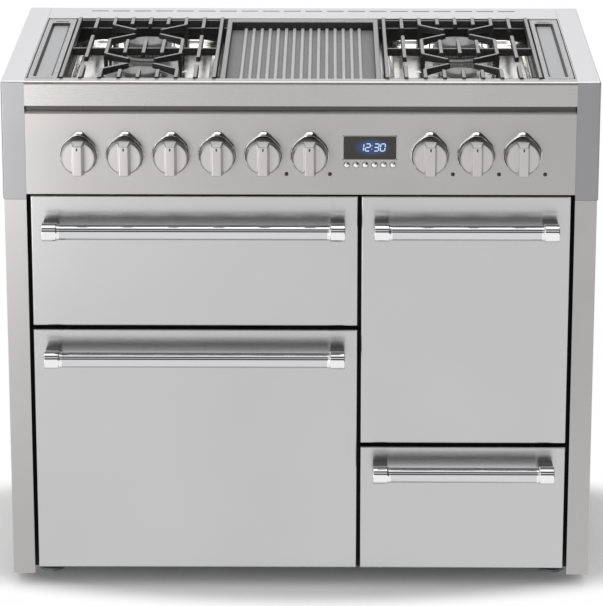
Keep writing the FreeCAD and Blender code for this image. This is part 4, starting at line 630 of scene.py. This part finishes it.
# %% Knobs
KNOB_HEIGHT = 774.0
KNOB_PLACES = (-371.3, -294.0, -216.7, -139.4, -62.1, 15.2, 216.7, 294.0, 371.3)
DISC_BACK = -275.4
DISC_FRONT = -295.4
GRIP_FRONT = -318.5
SHAFT_END = -241.5
DISC_PROFILE = [
    (0.0, -DISC_FRONT), (25.6, -DISC_FRONT), (26.0, -DISC_FRONT - 0.5), (26.6, -DISC_FRONT - 0.5),
    (27.0, -DISC_FRONT - 0.1), (27.9, -DISC_FRONT - 0.9), (28.6, -DISC_FRONT - 2.2),
    (29.0, -DISC_FRONT - 4.0), (29.0, -DISC_BACK + 0.6), (28.4, -DISC_BACK), (3.0, -DISC_BACK),
    (3.0, -SHAFT_END), (0.0, -SHAFT_END),
]
GRIP_BACK = -293.0
GRIP_HALF = (11.2, 28.8)
GRIP_SLOPE = 3.7
GRIP_END_HALF = 6.0
GRIP_END_AREA = 100.0


def make_knob(number, x):
    bm = bmesh.new()
    place_at(bm, turned(bm, DISC_PROFILE, steps=64), 0, 0, 0, FACING_FRONT)
    before = set(bm.verts)
    cube = bmesh.ops.create_cube(bm, size=2.0)["verts"]
    for v in cube:
        is_front = v.co.y < 0
        lean = GRIP_SLOPE if is_front else 0.0
        v.co.x *= (GRIP_HALF[0] - lean) * MM
        v.co.z *= (GRIP_HALF[1] - lean) * MM
        v.co.y = (GRIP_FRONT if is_front else GRIP_BACK) * MM
    soften(bm, new_parts(bm, before)[1], 1.3, 3)
    before = set(bm.verts)
    drop = bmesh.ops.create_uvsphere(bm, u_segments=16, v_segments=10, radius=1.0 * MM)["verts"]
    bmesh.ops.scale(bm, verts=drop, vec=(1.5, 0.35, 3.0))
    for v in drop:
        v.co.x *= 1.0 + 0.18 * v.co.z / (3.0 * MM)
    place_at(bm, drop, 0, GRIP_FRONT + 0.1, GRIP_HALF[1] - GRIP_SLOPE - 5.0)
    paint(bm, before, 1)
    # the grip's top face gets the pale finish: painted light from above
    for face in bm.faces:
        is_central = abs(face.calc_center_median().x) < GRIP_END_HALF * MM
        if face.normal.z > 0.9 and is_central and face.calc_area() > GRIP_END_AREA * MM * MM:
            face.material_index = 2
    place_at(bm, list(bm.verts), x, 0, KNOB_HEIGHT)
    finish_piece("knob_%d_turned" % number, bm, [knob_metal, black_mark, grip_top_painted_light], "knob_%d" % number,
                 ["knob_%d" % number], sharp=18.0)


for number, x in enumerate(KNOB_PLACES, start=1):
    make_knob(number, x)

# %% [markdown]
# ## Bezels
# Each bezel is a drop-shaped ring pressed from one sheet. Its outline is extruded ring by ring: up a
# low wall, up a slope to a ridge, and down inside to the seat of the knob. Each ring is placed by its
# share of the way from the outline to the seat, so the wide tip and the narrow sides keep one form.

# %% Bezels
BEZEL_RADIUS = 33.0
TIP_RADIUS = 15.0
TIP_RISE = 26.0
SEAT_RADIUS = 29.6
# each ring of a bezel: share of the way to the seat, height, and height gained per millimetre of width
BEZEL_RINGS = ((0.0, 0.8, 0.0), (0.1, 0.9, 0.14), (0.3, 1.0, 0.36), (0.48, 1.0, 0.53), (0.56, 1.0, 0.53),
               (0.9, 2.0, 0.0), (1.0, 1.6, 0.0))


def drop_outline(bm):
    """The edges of a drop: two circles lose the arcs inside each other, and two edges join the rest."""
    lean = math.acos((BEZEL_RADIUS - TIP_RADIUS) / TIP_RISE)
    ends = []
    for radius, rise, is_tip in ((BEZEL_RADIUS, 0.0, False), (TIP_RADIUS, TIP_RISE, True)):
        ring = bmesh.ops.create_circle(bm, segments=90, radius=radius * MM)["verts"]
        lost = [v for v in ring if (v.co.y > radius * MM * math.cos(lean)) != is_tip]
        bmesh.ops.delete(bm, geom=lost, context="VERTS")
        kept = [v for v in ring if v.is_valid]
        bmesh.ops.translate(bm, verts=kept, vec=(0, rise * MM, 0))
        ends.append([v for v in kept if len(v.link_edges) == 1])
    joins = []
    for start in ends[0]:
        end = next(v for v in ends[1] if v.co.x * start.co.x > 0)
        joins.append(bm.edges.new((start, end)))
    bmesh.ops.subdivide_edges(bm, edges=joins, cuts=10)
    return list(bm.edges)


def make_bezels():
    bm = bmesh.new()
    ring = drop_outline(bm)
    start_of = {v: v.co.copy() for v in bm.verts}
    for share, height, gain in BEZEL_RINGS:
        grown = bmesh.ops.extrude_edge_only(bm, edges=ring)["geom"]
        fresh = set(only_verts(grown))
        ring = [g for g in grown if isinstance(g, bmesh.types.BMEdge) and fresh.issuperset(g.verts)]
        starts = {}
        for v in fresh:
            old = next(e.other_vert(v) for e in v.link_edges if e.other_vert(v) in start_of)
            starts[v] = start_of[old]
        for v, start in starts.items():
            seat = start.normalized() * SEAT_RADIUS * MM
            v.co = start.lerp(seat, share)
            v.co.z = height * MM + gain * (start - seat).length
        start_of = starts
    face_upwards(bm)
    place_at(bm, list(bm.verts), KNOB_PLACES[0], DOOR_FACE, KNOB_HEIGHT, FACING_FRONT)
    first = list(bm.verts) + list(bm.edges) + list(bm.faces)
    for x in KNOB_PLACES[1:]:
        copy = bmesh.ops.duplicate(bm, geom=first)["geom"]
        bmesh.ops.translate(bm, verts=only_verts(copy), vec=((x - KNOB_PLACES[0]) * MM, 0, 0))
    finish_piece("bezel_rims", bm, [chrome], "casing", ["knob_bezels"], sharp=60.0)


make_bezels()

# %% [markdown]
# ## Clock, buttons and lamps
# The clock is dark glass with a thin bright surround. Its figures are seven-segment strips that light
# up blue. The buttons are small polished domes and the lamps are dark lenses in the panel.

# %% Clock
GLASS_X = (70.45, 161.45)
GLASS_Z = (765.75, 808.25)
GLASS_FRONT = -272.5
GLASS_CORNER = 4.0
SURROUND_BACK = -260.0
GLASS_BACK = -270.5
GLASS_INSET = 1.3


def rounded_plate(bm, x, z, y_back, y_front, corner, edge_soft, corner_steps=6):
    """A plate facing the front with rounded corners and a softened front edge."""
    before = set(bm.verts)
    rounded_cell(bm, x, z, corner, corner_steps)
    face = new_parts(bm, before)[2][0]
    grown = bmesh.ops.extrude_face_region(bm, geom=[face])["geom"]
    bmesh.ops.translate(bm, verts=only_verts(grown), vec=(0, 0, (y_back - y_front) * MM))
    top_face = next(g for g in grown if isinstance(g, bmesh.types.BMFace))
    soften(bm, list(top_face.edges), edge_soft, 2)
    verts, _, faces = new_parts(bm, before)
    bmesh.ops.recalc_face_normals(bm, faces=faces)
    place_at(bm, verts, sum(x) / 2, y_back, sum(z) / 2, FACING_FRONT)


def make_clock():
    bm = bmesh.new()
    rounded_plate(bm, GLASS_X, GLASS_Z, SURROUND_BACK, GLASS_FRONT + 0.7, GLASS_CORNER, 0.4)
    before = set(bm.verts)
    x = (GLASS_X[0] + GLASS_INSET, GLASS_X[1] - GLASS_INSET)
    z = (GLASS_Z[0] + GLASS_INSET, GLASS_Z[1] - GLASS_INSET)
    rounded_plate(bm, x, z, GLASS_BACK, GLASS_FRONT, GLASS_CORNER - GLASS_INSET, 0.3)
    paint(bm, before, 1)
    finish_piece("clock_window", bm, [brushed_steel, clock_glass], "casing", ["clock_glass"])


make_clock()

# %% [markdown]
# ## Clock figures
# A seven-segment figure is made of up to seven strokes. A table says which strokes each figure lights,
# and each stroke is a thin block with cut corners. The whole row leans, as on such a display.

# %% Clock figures
FIGURE_HEIGHT = 14.0
FIGURE_WIDTH = 7.6
STROKE = 1.7
SLANT = 0.12
SEGMENTS = {
    "a": ((0.5, 1.0), True), "b": ((1.0, 0.75), False), "c": ((1.0, 0.25), False), "d": ((0.5, 0.0), True),
    "e": ((0.0, 0.25), False), "f": ((0.0, 0.75), False), "g": ((0.5, 0.5), True),
}
FIGURES = {"1": "bc", "2": "abged", "3": "abgcd", "0": "abcdef"}
FIGURE_PLACES = (("1", 98.0), ("2", 108.6), ("3", 123.2), ("0", 133.8))
FIGURE_LOW = 781.0
COLON_X = 119.2
COLON_RISES = (4.2, 9.8)
COLON_HALF = 0.85


def make_figures():
    bm = bmesh.new()
    strokes = []
    for figure, left in FIGURE_PLACES:
        for segment in FIGURES[figure]:
            (across, up), is_flat = SEGMENTS[segment]
            x = left + across * FIGURE_WIDTH
            z = FIGURE_LOW + STROKE / 2 + up * (FIGURE_HEIGHT - STROKE)
            reach = FIGURE_WIDTH / 2 - 0.5 if is_flat else (FIGURE_HEIGHT - STROKE) / 4 - 0.3
            half = (reach, STROKE / 2) if is_flat else (STROKE / 2, reach)
            strokes.append((x, z, half))
    for rise in COLON_RISES:
        strokes.append((COLON_X, FIGURE_LOW + rise, (COLON_HALF, COLON_HALF)))
    for x, z, (half_x, half_z) in strokes:
        front = (x - half_x, GLASS_FRONT - 0.15, z - half_z)
        back = (x + half_x, GLASS_FRONT + 0.2, z + half_z)
        edges = edges_of(block(bm, front, back))
        soften(bm, [e for e in edges if abs(e.verts[0].co.y - e.verts[1].co.y) > 0.0001], 0.8, 1)
    for v in bm.verts:
        v.co.x += SLANT * (v.co.z - (FIGURE_LOW + FIGURE_HEIGHT / 2) * MM)
    finish_piece("clock_figures", bm, [figure_light], "casing")


make_figures()

# %% [markdown]
# ## Buttons and lamps
# The clock's buttons are small polished domes that move on their own, so each is its own piece. The
# five indicator lamps don't move and are one piece of dark lenses.

# %% Buttons and lamps
BUTTON_HEIGHT = 757.5
BUTTON_PLACES = [115.95 + 15.5 * (step - 2.5) for step in range(6)]
BUTTON_PROFILE = [
    (0.0, 275.0), (1.6, 274.9), (3.0, 274.5), (4.1, 273.8), (4.8, 272.8), (5.0, 271.6), (5.0, 263.0),
    (0.0, 263.0),
]
LAMP_HEIGHT = 741.5
LAMP_PLACES = (-23.6, 49.2, 255.2, 332.5, 409.8)
LAMP_PROFILE = [
    (0.0, 272.0), (1.6, 271.9), (2.8, 271.6), (3.4, 271.1), (3.5, 270.8), (3.5, 266.0), (0.0, 266.0),
]

for number, x in enumerate(BUTTON_PLACES, start=1):
    bm = bmesh.new()
    place_at(bm, turned(bm, BUTTON_PROFILE, steps=32), 0, 0, 0, FACING_FRONT)
    place_at(bm, list(bm.verts), x, 0, BUTTON_HEIGHT)
    finish_piece("clock_button_%d_dome" % number, bm, [chrome], "clock_button_%d" % number,
                 ["clock_button_%d" % number])

bm = bmesh.new()
for x in LAMP_PLACES:
    verts = turned(bm, LAMP_PROFILE, steps=32)
    place_at(bm, verts, 0, 0, 0, FACING_FRONT)
    place_at(bm, verts, x, 0, LAMP_HEIGHT)
finish_piece("lamp_domes", bm, [lamp_lens], "casing", ["indicator_lamps"])

# %% [markdown]
# ## Hob sheet
# The hob is one pressed sheet: a deep tray whose floor has two polished wells, and a flat ledge with
# slots behind it. The floor is filled between its outline and the wells' rounded rims, and each well
# is pushed down by insetting its face. A low six-sided pad lies between the burners of a well.

# %% Hob sheet
HOB_TOP = 900.0
SHELF_LEVEL = 866.0
WELL_LEVEL = 858.0
HOB_HALF = 459.0
HOB_FRONT = -249.0
HOB_BACK = 237.0
SHEET = 1.5
WELL_Y = (-238.0, 214.0)
WELL_X = (152.0, 396.0)
WELL_CORNER = 34.0
SLOT_SETBACK = 28.0
HOB_REAR = 327.5
STEP_LEVEL = 884.3
STEP_DEPTH = 6.0
STEP_X = (137.0, 407.0)
WELL_PRESSING = ((1.2, 0.3), (1.6, 1.2), (3.4, 5.0), (1.8, 1.2), (1.4, 0.3))
VENT_PITCH = 39.0
VENT_COUNT = 20
VENT_HALF = (16.0, 3.0)
VENT_CORNER = 2.9


def rounded_rim(bm, x, y, z, corner, steps=8):
    """A flat face with rounded corners, at a height."""
    before = set(bm.verts)
    rounded_cell(bm, x, y, corner, steps)
    verts, _, faces = new_parts(bm, before)
    place_at(bm, verts, sum(x) / 2, sum(y) / 2, z)
    return faces[0]


def rectangle_loop(bm, x, y, z):
    verts = [bm.verts.new((px * MM, py * MM, z * MM)) for px, py in
             ((x[0], y[0]), (x[1], y[0]), (x[1], y[1]), (x[0], y[1]))]
    return [bm.edges.new((verts[i], verts[(i + 1) % 4])) for i in range(4)]


def sink(bm, face, steps):
    """Push a face down in several insets: (inset, depth) pairs in millimetres."""
    for inset, depth in steps:
        bmesh.ops.inset_region(bm, faces=[face], thickness=inset * MM, depth=-depth * MM,
                               use_even_offset=True, use_boundary=True)


def make_hob():
    bm = bmesh.new()
    floor_edges = rectangle_loop(bm, (-HOB_HALF, HOB_HALF), (HOB_FRONT, HOB_BACK), SHELF_LEVEL)
    wells = []
    for side in (-1, 1):
        x = tuple(sorted((side * WELL_X[0], side * WELL_X[1])))
        wells.append(rounded_rim(bm, x, WELL_Y, SHELF_LEVEL, WELL_CORNER))
    rims = [e for well in wells for e in well.edges]
    bmesh.ops.triangle_fill(bm, use_beauty=True, use_dissolve=False, edges=floor_edges + rims)
    for well in wells:
        if well.normal.z < 0:
            well.normal_flip()
        sink(bm, well, WELL_PRESSING)
    face_upwards(bm)
    # side and front walls, then the rear wall, painted shade: near black below, dark grey above, with a
    # narrow ledge between
    outer, front, back = HOB_HALF + SHEET, HOB_FRONT - SHEET, HOB_BACK + SHEET
    walls = ((-outer, -HOB_HALF, back), (HOB_HALF, outer, back), (-HOB_HALF, HOB_HALF, HOB_FRONT))
    for low, high, rear in walls:
        block(bm, (low, front, WELL_LEVEL), (high, rear, HOB_TOP), 0.3, 1, index=1)
    block(bm, (-HOB_HALF, HOB_BACK, WELL_LEVEL), (HOB_HALF, back, STEP_LEVEL), 0.2, 1, index=2)
    block(bm, (-HOB_HALF, HOB_BACK, STEP_LEVEL), (HOB_HALF, back, HOB_TOP - SHEET), 0.2, 1, index=3)
    for side in (-1, 1):
        x = sorted((side * STEP_X[0], side * STEP_X[1]))
        block(bm, (x[0], HOB_BACK - STEP_DEPTH, STEP_LEVEL - 2), (x[1], HOB_BACK, STEP_LEVEL), 0.6, index=1)
    before = set(bm.verts)
    outer = rectangle_loop(bm, (-HOB_HALF - SHEET, HOB_HALF + SHEET), (HOB_BACK, HOB_REAR), HOB_TOP)
    slots = []
    for step in range(VENT_COUNT):
        x = VENT_PITCH * (step - (VENT_COUNT - 1) / 2)
        y = HOB_REAR + SHEET - SLOT_SETBACK
        slot_x = (x - VENT_HALF[0], x + VENT_HALF[0])
        slot_y = (y - VENT_HALF[1], y + VENT_HALF[1])
        slots.append(rounded_rim(bm, slot_x, slot_y, HOB_TOP, VENT_CORNER, steps=4))
    slot_edges = [e for slot in slots for e in slot.edges]
    bmesh.ops.triangle_fill(bm, use_beauty=True, use_dissolve=False, edges=outer + slot_edges)
    bmesh.ops.delete(bm, geom=slots, context="FACES_ONLY")
    rest = new_parts(bm, before)[2]
    for face in rest:
        if face.normal.z < 0:
            face.normal_flip()
    grown = bmesh.ops.extrude_face_region(bm, geom=rest, use_keep_orig=True)["geom"]
    bmesh.ops.translate(bm, verts=only_verts(grown), vec=(0, 0, -SHEET * MM))
    faces = new_parts(bm, before)[2]
    bmesh.ops.recalc_face_normals(bm, faces=faces)
    paint(bm, before, 1)
    return bm


hob = make_hob()

PAD_REACH = 78.0
PAD_SLOPE = 7.0
PAD_HEIGHT = 1.6
PAD_SQUEEZE = 0.66
BURNER_COLUMN = 273.0
HOB_MIDDLE = -6.0
for side in (-1, 1):
    before = set(hob.verts)
    verts = bmesh.ops.create_cone(hob, cap_ends=True, segments=6, radius1=PAD_REACH * MM,
                                  radius2=(PAD_REACH - PAD_SLOPE) * MM, depth=PAD_HEIGHT * MM)["verts"]
    bmesh.ops.rotate(hob, verts=verts, cent=(0, 0, 0), matrix=Matrix.Rotation(math.radians(30), 3, "Z"))
    bmesh.ops.scale(hob, verts=verts, vec=(1.0, PAD_SQUEEZE, 1.0))
    place_at(hob, verts, side * BURNER_COLUMN, HOB_MIDDLE, WELL_LEVEL + 0.7)
    paint(hob, before, 0)
finish_piece("hob_sheet", hob, [mirror_steel, hob_steel, rear_wall_painted_shade, upper_wall_painted_shade], "casing",
             ["hob_top"])

# %% [markdown]
# ## Painted shade under the rail
# Behind the gap under the hob rail lies a dark sheet of painted shade. It keeps the gap dark where the
# bright fold of the control panel would show.

# %% Painted shade in the gap under the rail
GAP_SHADE_LOW = (-460.0, -265.0, 849.2)
GAP_SHADE_HIGH = (460.0, -264.0, 857.8)

bm = bmesh.new()
block(bm, GAP_SHADE_LOW, GAP_SHADE_HIGH, 0.3, 1)
finish_piece("rail_gap_shade_sheet", bm, [rail_gap_painted_shade], "casing")

# %% [markdown]
# ## Burners
# A burner is an alloy bowl, a crown with gas slots round its edge and an enamelled cap. The slots are
# made as a ring of small blocks on the crown's rim. The front left burner has a second, outer crown.

# %% Burners
BURNERS = (("front_left", -273.0, -124.0, 31.0), ("rear_left", -273.0, 112.0, 35.0),
           ("front_right", 273.0, -124.0, 26.0), ("rear_right", 273.0, 112.0, 38.0))
FLANGE_TOP = 862.0
CROWN_TOP = 878.0
CAP_TOP = 887.0
OUTER_RING = (43.5, 65.5)


def tooth_ring(bm, x, y, radius, low, high, count, depth=5.0, share=0.62):
    width = 2 * math.pi * radius / count * share
    for step in range(count):
        verts = block(bm, (radius - depth, -width / 2, low), (radius, width / 2, high))
        place_at(bm, verts, x, y, 0, Matrix.Rotation(2 * math.pi * step / count, 3, "Z"))


def make_burners():
    bases, crowns, caps = bmesh.new(), bmesh.new(), bmesh.new()
    for name, x, y, radius in BURNERS:
        crown = radius + 4.0
        flange = OUTER_RING[1] if name == "front_left" else crown + 10.0
        place_at(bases, turned(bases, [
            (0, 828), (25, 828), (25, 857.9), (flange - 1.5, 857.9), (flange, 858.6), (flange, 860.4),
            (flange - 1.5, 861.6), (flange - 3, FLANGE_TOP), (0, FLANGE_TOP),
        ]), x, y, 0)
        place_at(crowns, turned(crowns, [
            (0, FLANGE_TOP), (crown - 6, FLANGE_TOP), (crown - 4, 866), (crown - 4, 872.5), (crown, 874.5),
            (crown, 876.8), (crown - 1.2, CROWN_TOP), (0, CROWN_TOP),
        ]), x, y, 0)
        tooth_ring(crowns, x, y, crown - 0.6, 864.0, 875.5, int(crown * 0.9))
        if name == "front_left":
            inner, outer = OUTER_RING
            place_at(crowns, turned(crowns, [
                (inner, FLANGE_TOP), (outer - 6, FLANGE_TOP), (outer - 4, 866), (outer - 4, 870),
                (outer, 871.4), (outer, 872.6), (outer - 1.2, 873.5), (inner, 873.5), (inner, FLANGE_TOP),
            ], steps=72), x, y, 0)
            tooth_ring(crowns, x, y, outer - 0.6, 864.0, 872.0, 56)
            place_at(caps, turned(caps, [
                (inner + 1, 873.4), (outer - 2.5, 873.4), (outer - 1.5, 874.4), (outer - 2.5, 876.4),
                (outer - 6, 877.6), (inner + 5, 877.6), (inner + 1.5, 876.0), (inner + 1, 873.4),
            ], steps=72), x, y, 0)
        place_at(caps, turned(caps, [
            (0, CROWN_TOP), (radius - 1, CROWN_TOP), (radius, CROWN_TOP + 1.0), (radius, CAP_TOP - 3.4),
            (radius - 1.0, CAP_TOP - 1.4), (radius - 3.0, CAP_TOP - 0.5), (radius - 7.0, CAP_TOP - 0.2),
            (0, CAP_TOP),
        ], steps=64), x, y, 0)
    finish_piece("burner_bowls", bases, [burner_alloy], "casing", ["burner_bases"])
    finish_piece("burner_rings", crowns, [burner_alloy], "casing", ["burner_crowns"])
    finish_piece("burner_lids", caps, [cap_enamel], "casing", ["burner_caps"])


make_burners()


PLUG_PROFILE = [(0, 858), (4.2, 858), (4.2, 868), (3.0, 869), (0, 869)]
SENSOR_PROFILE = [(0, 858), (3.0, 858), (3.0, 866), (0, 866)]
PIN_PROFILE = [(0, 866), (1.2, 866), (1.2, 876), (0, 876.8)]
PLUG_ANGLE = 35
SENSOR_ANGLE = 145


def make_igniters():
    """A ceramic spark plug and a flame sensor beside each burner."""
    bm = bmesh.new()
    for name, x, y, radius in BURNERS:
        reach = (OUTER_RING[1] if name == "front_left" else radius + 14.0) + 5.0
        for angle, profile in ((PLUG_ANGLE, PLUG_PROFILE), (SENSOR_ANGLE, SENSOR_PROFILE)):
            turn = math.radians(angle)
            spot = (x + reach * math.cos(turn), y + reach * math.sin(turn), 0)
            place_at(bm, turned(bm, profile, steps=16), *spot)
            before = set(bm.verts)
            place_at(bm, turned(bm, PIN_PROFILE, steps=12), *spot)
            paint(bm, before, 1)
    finish_piece("igniters", bm, [ceramic, element_steel], "casing")


make_igniters()

# %% [markdown]
# ## Cast iron
# The pan supports are sand-cast bars: a little narrower at the top, with soft edges, and their tops
# are pale, a painted sheen of the light from above, while their sides stay black. Bars are blocks whose ends
# are rounded by a bevel.

# %% Pan supports
SUPPORT_TOP = 903.0
SUPPORT_HALF = (132.0, 241.5)
BAR = 8.0
BAR_DEPTH = 13.0
BAR_DROP = 4.0
FINGER_PITCH = 32.0
BURNER_SPREAD = 118.0
# each straight finger: its place in pitches, and how far from a burner's axis it ends
FINGERS = ((-3, 30.0), (-1, 65.0), (0, 65.0), (1, 65.0), (3, 30.0))
ELBOW_REACH = 60.0
TIP_REACH = 18.0


def bar(bm, start, end, top=SUPPORT_TOP, depth=BAR_DEPTH, width=BAR, taper=0.8, tip=0.0):
    """A cast bar between two points, narrower at its top, in millimetres."""
    start, end = Vector(start), Vector(end)
    span = (end - start).length
    before = set(bm.verts)
    cube = bmesh.ops.create_cube(bm, size=1.0)["verts"]
    for v in cube:
        is_top = v.co.z > 0
        v.co.x = (v.co.x + 0.5) * span
        v.co.y *= width * (taper if is_top else 1.0)
        v.co.z = top - 0.2 if is_top else top - depth + (tip if v.co.x > span / 2 else 0.0)
    bmesh.ops.scale(bm, verts=cube, vec=(MM, MM, MM))
    edges = [e for e in new_parts(bm, before)[1] if min(v.co.z for v in e.verts) > (top - 1.0) * MM
             or abs(e.verts[0].co.z - e.verts[1].co.z) > 0.004]
    soften(bm, edges, 1.5, 2)
    turn = Matrix.Rotation(math.atan2(end.y - start.y, end.x - start.x), 3, "Z")
    place_at(bm, new_parts(bm, before)[0], start.x, start.y, 0, turn)


def leg(bm, x, y):
    cube = bmesh.ops.create_cube(bm, size=1.0)["verts"]
    for v in cube:
        is_top = v.co.z > 0
        half = BAR * (0.98 if is_top else 0.6)
        v.co.x *= half
        v.co.y *= half
        v.co.z = SUPPORT_TOP - 6.0 if is_top else WELL_LEVEL + 0.4
    bmesh.ops.scale(bm, verts=cube, vec=(MM, MM, MM))
    place_at(bm, cube, x, y, 0)


def make_support(side):
    bm = bmesh.new()
    half_x, half_y = SUPPORT_HALF
    inset = half_x - BAR / 2
    for x in (-inset, inset):
        bar(bm, (x, -half_y), (x, half_y))
    cross = half_y - BAR / 2 - BAR_DROP
    for y in (-cross, 0.0, cross):
        bar(bm, (-half_x + 2, y), (half_x - 2, y), top=SUPPORT_TOP - BAR_DROP, width=6.5)
    for step, clearance in FINGERS:
        x = FINGER_PITCH * step
        for end in (-1, 1):
            bar(bm, (x, end * half_y), (x, end * (BURNER_SPREAD + clearance)), tip=4.0)
            bar(bm, (x, 0), (x, end * (BURNER_SPREAD - clearance)), tip=4.0)
    for edge in (-1, 1):
        elbow = edge * FINGER_PITCH * 2
        tip_x = elbow - edge * (ELBOW_REACH - TIP_REACH)
        for end in (-1, 1):
            outer = (elbow, end * (BURNER_SPREAD + ELBOW_REACH))
            inner = (elbow, end * (BURNER_SPREAD - ELBOW_REACH))
            bar(bm, (elbow, end * half_y), outer)
            bar(bm, (elbow, 0), inner)
            bar(bm, outer, (tip_x, end * (BURNER_SPREAD + TIP_REACH)), tip=4.0)
            bar(bm, inner, (tip_x, end * (BURNER_SPREAD - TIP_REACH)), tip=4.0)
            leg(bm, *outer)
            leg(bm, *inner)
    # top faces get the pale finish: painted sheen of the light from above
    for face in bm.faces:
        is_top = face.normal.z > 0.75 and face.calc_center_median().z > (SUPPORT_TOP - 5.5) * MM
        face.material_index = 0 if is_top else 1
    place_at(bm, list(bm.verts), side * BURNER_COLUMN, HOB_MIDDLE, 0)
    label = "left" if side < 0 else "right"
    finish_piece("pan_support_%s_cast" % label, bm, [iron_top_painted_sheen, iron_side], "pan_support_%s" % label,
                 ["pan_support_%s" % label], sharp=50.0)


for side in (-1, 1):
    make_support(side)

# %% [markdown]
# ## Griddle plate
# The griddle is a cast tray with rounded ribs along it, a rim at each side and a broader ledge at the
# rear. Its ribs are paler than its floor, painted light on the raised ribs, so they have a finish of their
# own.

# %% Griddle plate
GRIDDLE_HALF = 135.0
GRIDDLE_Y = (-247.5, 235.5)
GRIDDLE_LOW = 876.0
GRIDDLE_FLOOR = 884.0
RIM_WIDTH = 9.0
RIB_HALF = 3.0
RIB_COUNT = 15
RIB_PITCH = 14.5
REAR_LEDGE = 26.0


def make_griddle():
    bm = bmesh.new()
    low, high = GRIDDLE_Y
    block(bm, (-GRIDDLE_HALF + 1, low, GRIDDLE_LOW), (GRIDDLE_HALF - 1, high - 1, GRIDDLE_FLOOR), 1.0)
    for side in (-1, 1):
        x = sorted((side * GRIDDLE_HALF, side * (GRIDDLE_HALF - RIM_WIDTH)))
        block(bm, (x[0], low, GRIDDLE_LOW), (x[1], high, HOB_TOP), 2.2, 3, index=1)
    ledge = (-GRIDDLE_HALF + 3, high - REAR_LEDGE, GRIDDLE_LOW + 2)
    block(bm, ledge, (GRIDDLE_HALF - 3, high, HOB_TOP - 0.3), 2.2, 3, index=1)
    for step in range(RIB_COUNT):
        x = RIB_PITCH * (step - (RIB_COUNT - 1) / 2)
        rib = (x - RIB_HALF, low + 6, GRIDDLE_FLOOR - 1)
        block(bm, rib, (x + RIB_HALF, high - REAR_LEDGE, GRIDDLE_FLOOR + 4), 2.0, 3, index=2)
    # rims' sides stay black; their tops keep the painted sheen of the light from above
    for face in bm.faces:
        if face.material_index == 1 and face.normal.z < 0.5:
            face.material_index = 3
    finish_piece("griddle_cast", bm, [griddle_iron, iron_top_painted_sheen, rib_painted_light, iron_side], "griddle_plate",
                 ["griddle_plate"], sharp=50.0)


make_griddle()

# %% [markdown]
# ## Side trays
# A narrow tray lies at each end of the hob. Its top is filled between its outline, a long recess and
# a short slot, and both are pushed down by insets. Two lugs and a bar at the front are its grip.

# %% Side trays
TRAY_X = (408.0, 457.5)
TRAY_Y = (-240.0, 235.5)
TRAY_TOP = 898.5
TRAY_DEPTH = 14.0
RECESS_Y = (-228.0, 207.0)
RECESS_MARGIN = (6.5, 7.5)
SLOT_Y = (213.0, 219.0)
SLOT_MARGIN = 12.0
LUG_WIDTH = 7.5
LUG_LOW = 886.0
GRIP_LOW = 891.0
GRIP_Y = (-246.5, -243.0)


def make_tray(side):
    bm = bmesh.new()
    x = sorted((side * TRAY_X[0], side * TRAY_X[1]))
    outline = list(rounded_rim(bm, x, TRAY_Y, TRAY_TOP, 4.0, steps=4).edges)
    bmesh.ops.delete(bm, geom=list(bm.faces), context="FACES_ONLY")
    inner_x = (x[0] + RECESS_MARGIN[0], x[1] - RECESS_MARGIN[1])
    recess = rounded_rim(bm, inner_x, RECESS_Y, TRAY_TOP, 9.0, steps=6)
    slot = rounded_rim(bm, (x[0] + SLOT_MARGIN, x[1] - SLOT_MARGIN), SLOT_Y, TRAY_TOP, 2.9, steps=4)
    holes = list(recess.edges) + list(slot.edges)
    bmesh.ops.triangle_fill(bm, use_beauty=True, use_dissolve=False, edges=outline + holes)
    for face in bm.faces:
        if face.normal.z < 0:
            face.normal_flip()
    sink(bm, recess, ((1.4, 0.6), (2.6, 4.6), (1.2, 0.5)))
    sink(bm, slot, ((0.4, 0.4), (0.4, 6.0)))
    skirt = bmesh.ops.extrude_edge_only(bm, edges=outline)["geom"]
    low = only_verts(skirt)
    bmesh.ops.translate(bm, verts=low, vec=(0, 0, -TRAY_DEPTH * MM))
    low_edges = [g for g in skirt if isinstance(g, bmesh.types.BMEdge) and all(v in low for v in g.verts)]
    bmesh.ops.contextual_create(bm, geom=low_edges)
    bmesh.ops.recalc_face_normals(bm, faces=list(bm.faces))
    # top faces get the pale finish: painted sheen of the light from above; sides stay black
    for face in bm.faces:
        is_top = face.normal.z > 0.6 and face.calc_center_median().z > (TRAY_TOP - 1.6) * MM
        face.material_index = 0 if is_top else 1
    recess.material_index = 2
    for low_x in (x[0], x[1] - LUG_WIDTH):
        block(bm, (low_x, GRIDDLE_Y[0], LUG_LOW), (low_x + LUG_WIDTH, TRAY_Y[0] + 3, TRAY_TOP - 0.3), 1.6, 3)
    left, right = x[0] + LUG_WIDTH, x[1] - LUG_WIDTH
    block(bm, (left, GRIP_Y[0], GRIP_LOW), (right, GRIP_Y[1], TRAY_TOP - 0.8), 1.0, 2, index=3)
    for y in (GRIDDLE_Y[0] + 12, GRIDDLE_Y[1] - 18):
        block(bm, (left, y, SHELF_LEVEL + 0.4), (right, y + 6, TRAY_TOP - 12), index=1)
    label = "left" if side < 0 else "right"
    finish_piece("side_tray_%s_cast" % label, bm, [tray_rim, iron_side, tray_enamel, hob_steel],
                 "side_tray_%s" % label, ["side_tray_%s" % label], sharp=50.0)


for side in (-1, 1):
    make_tray(side)
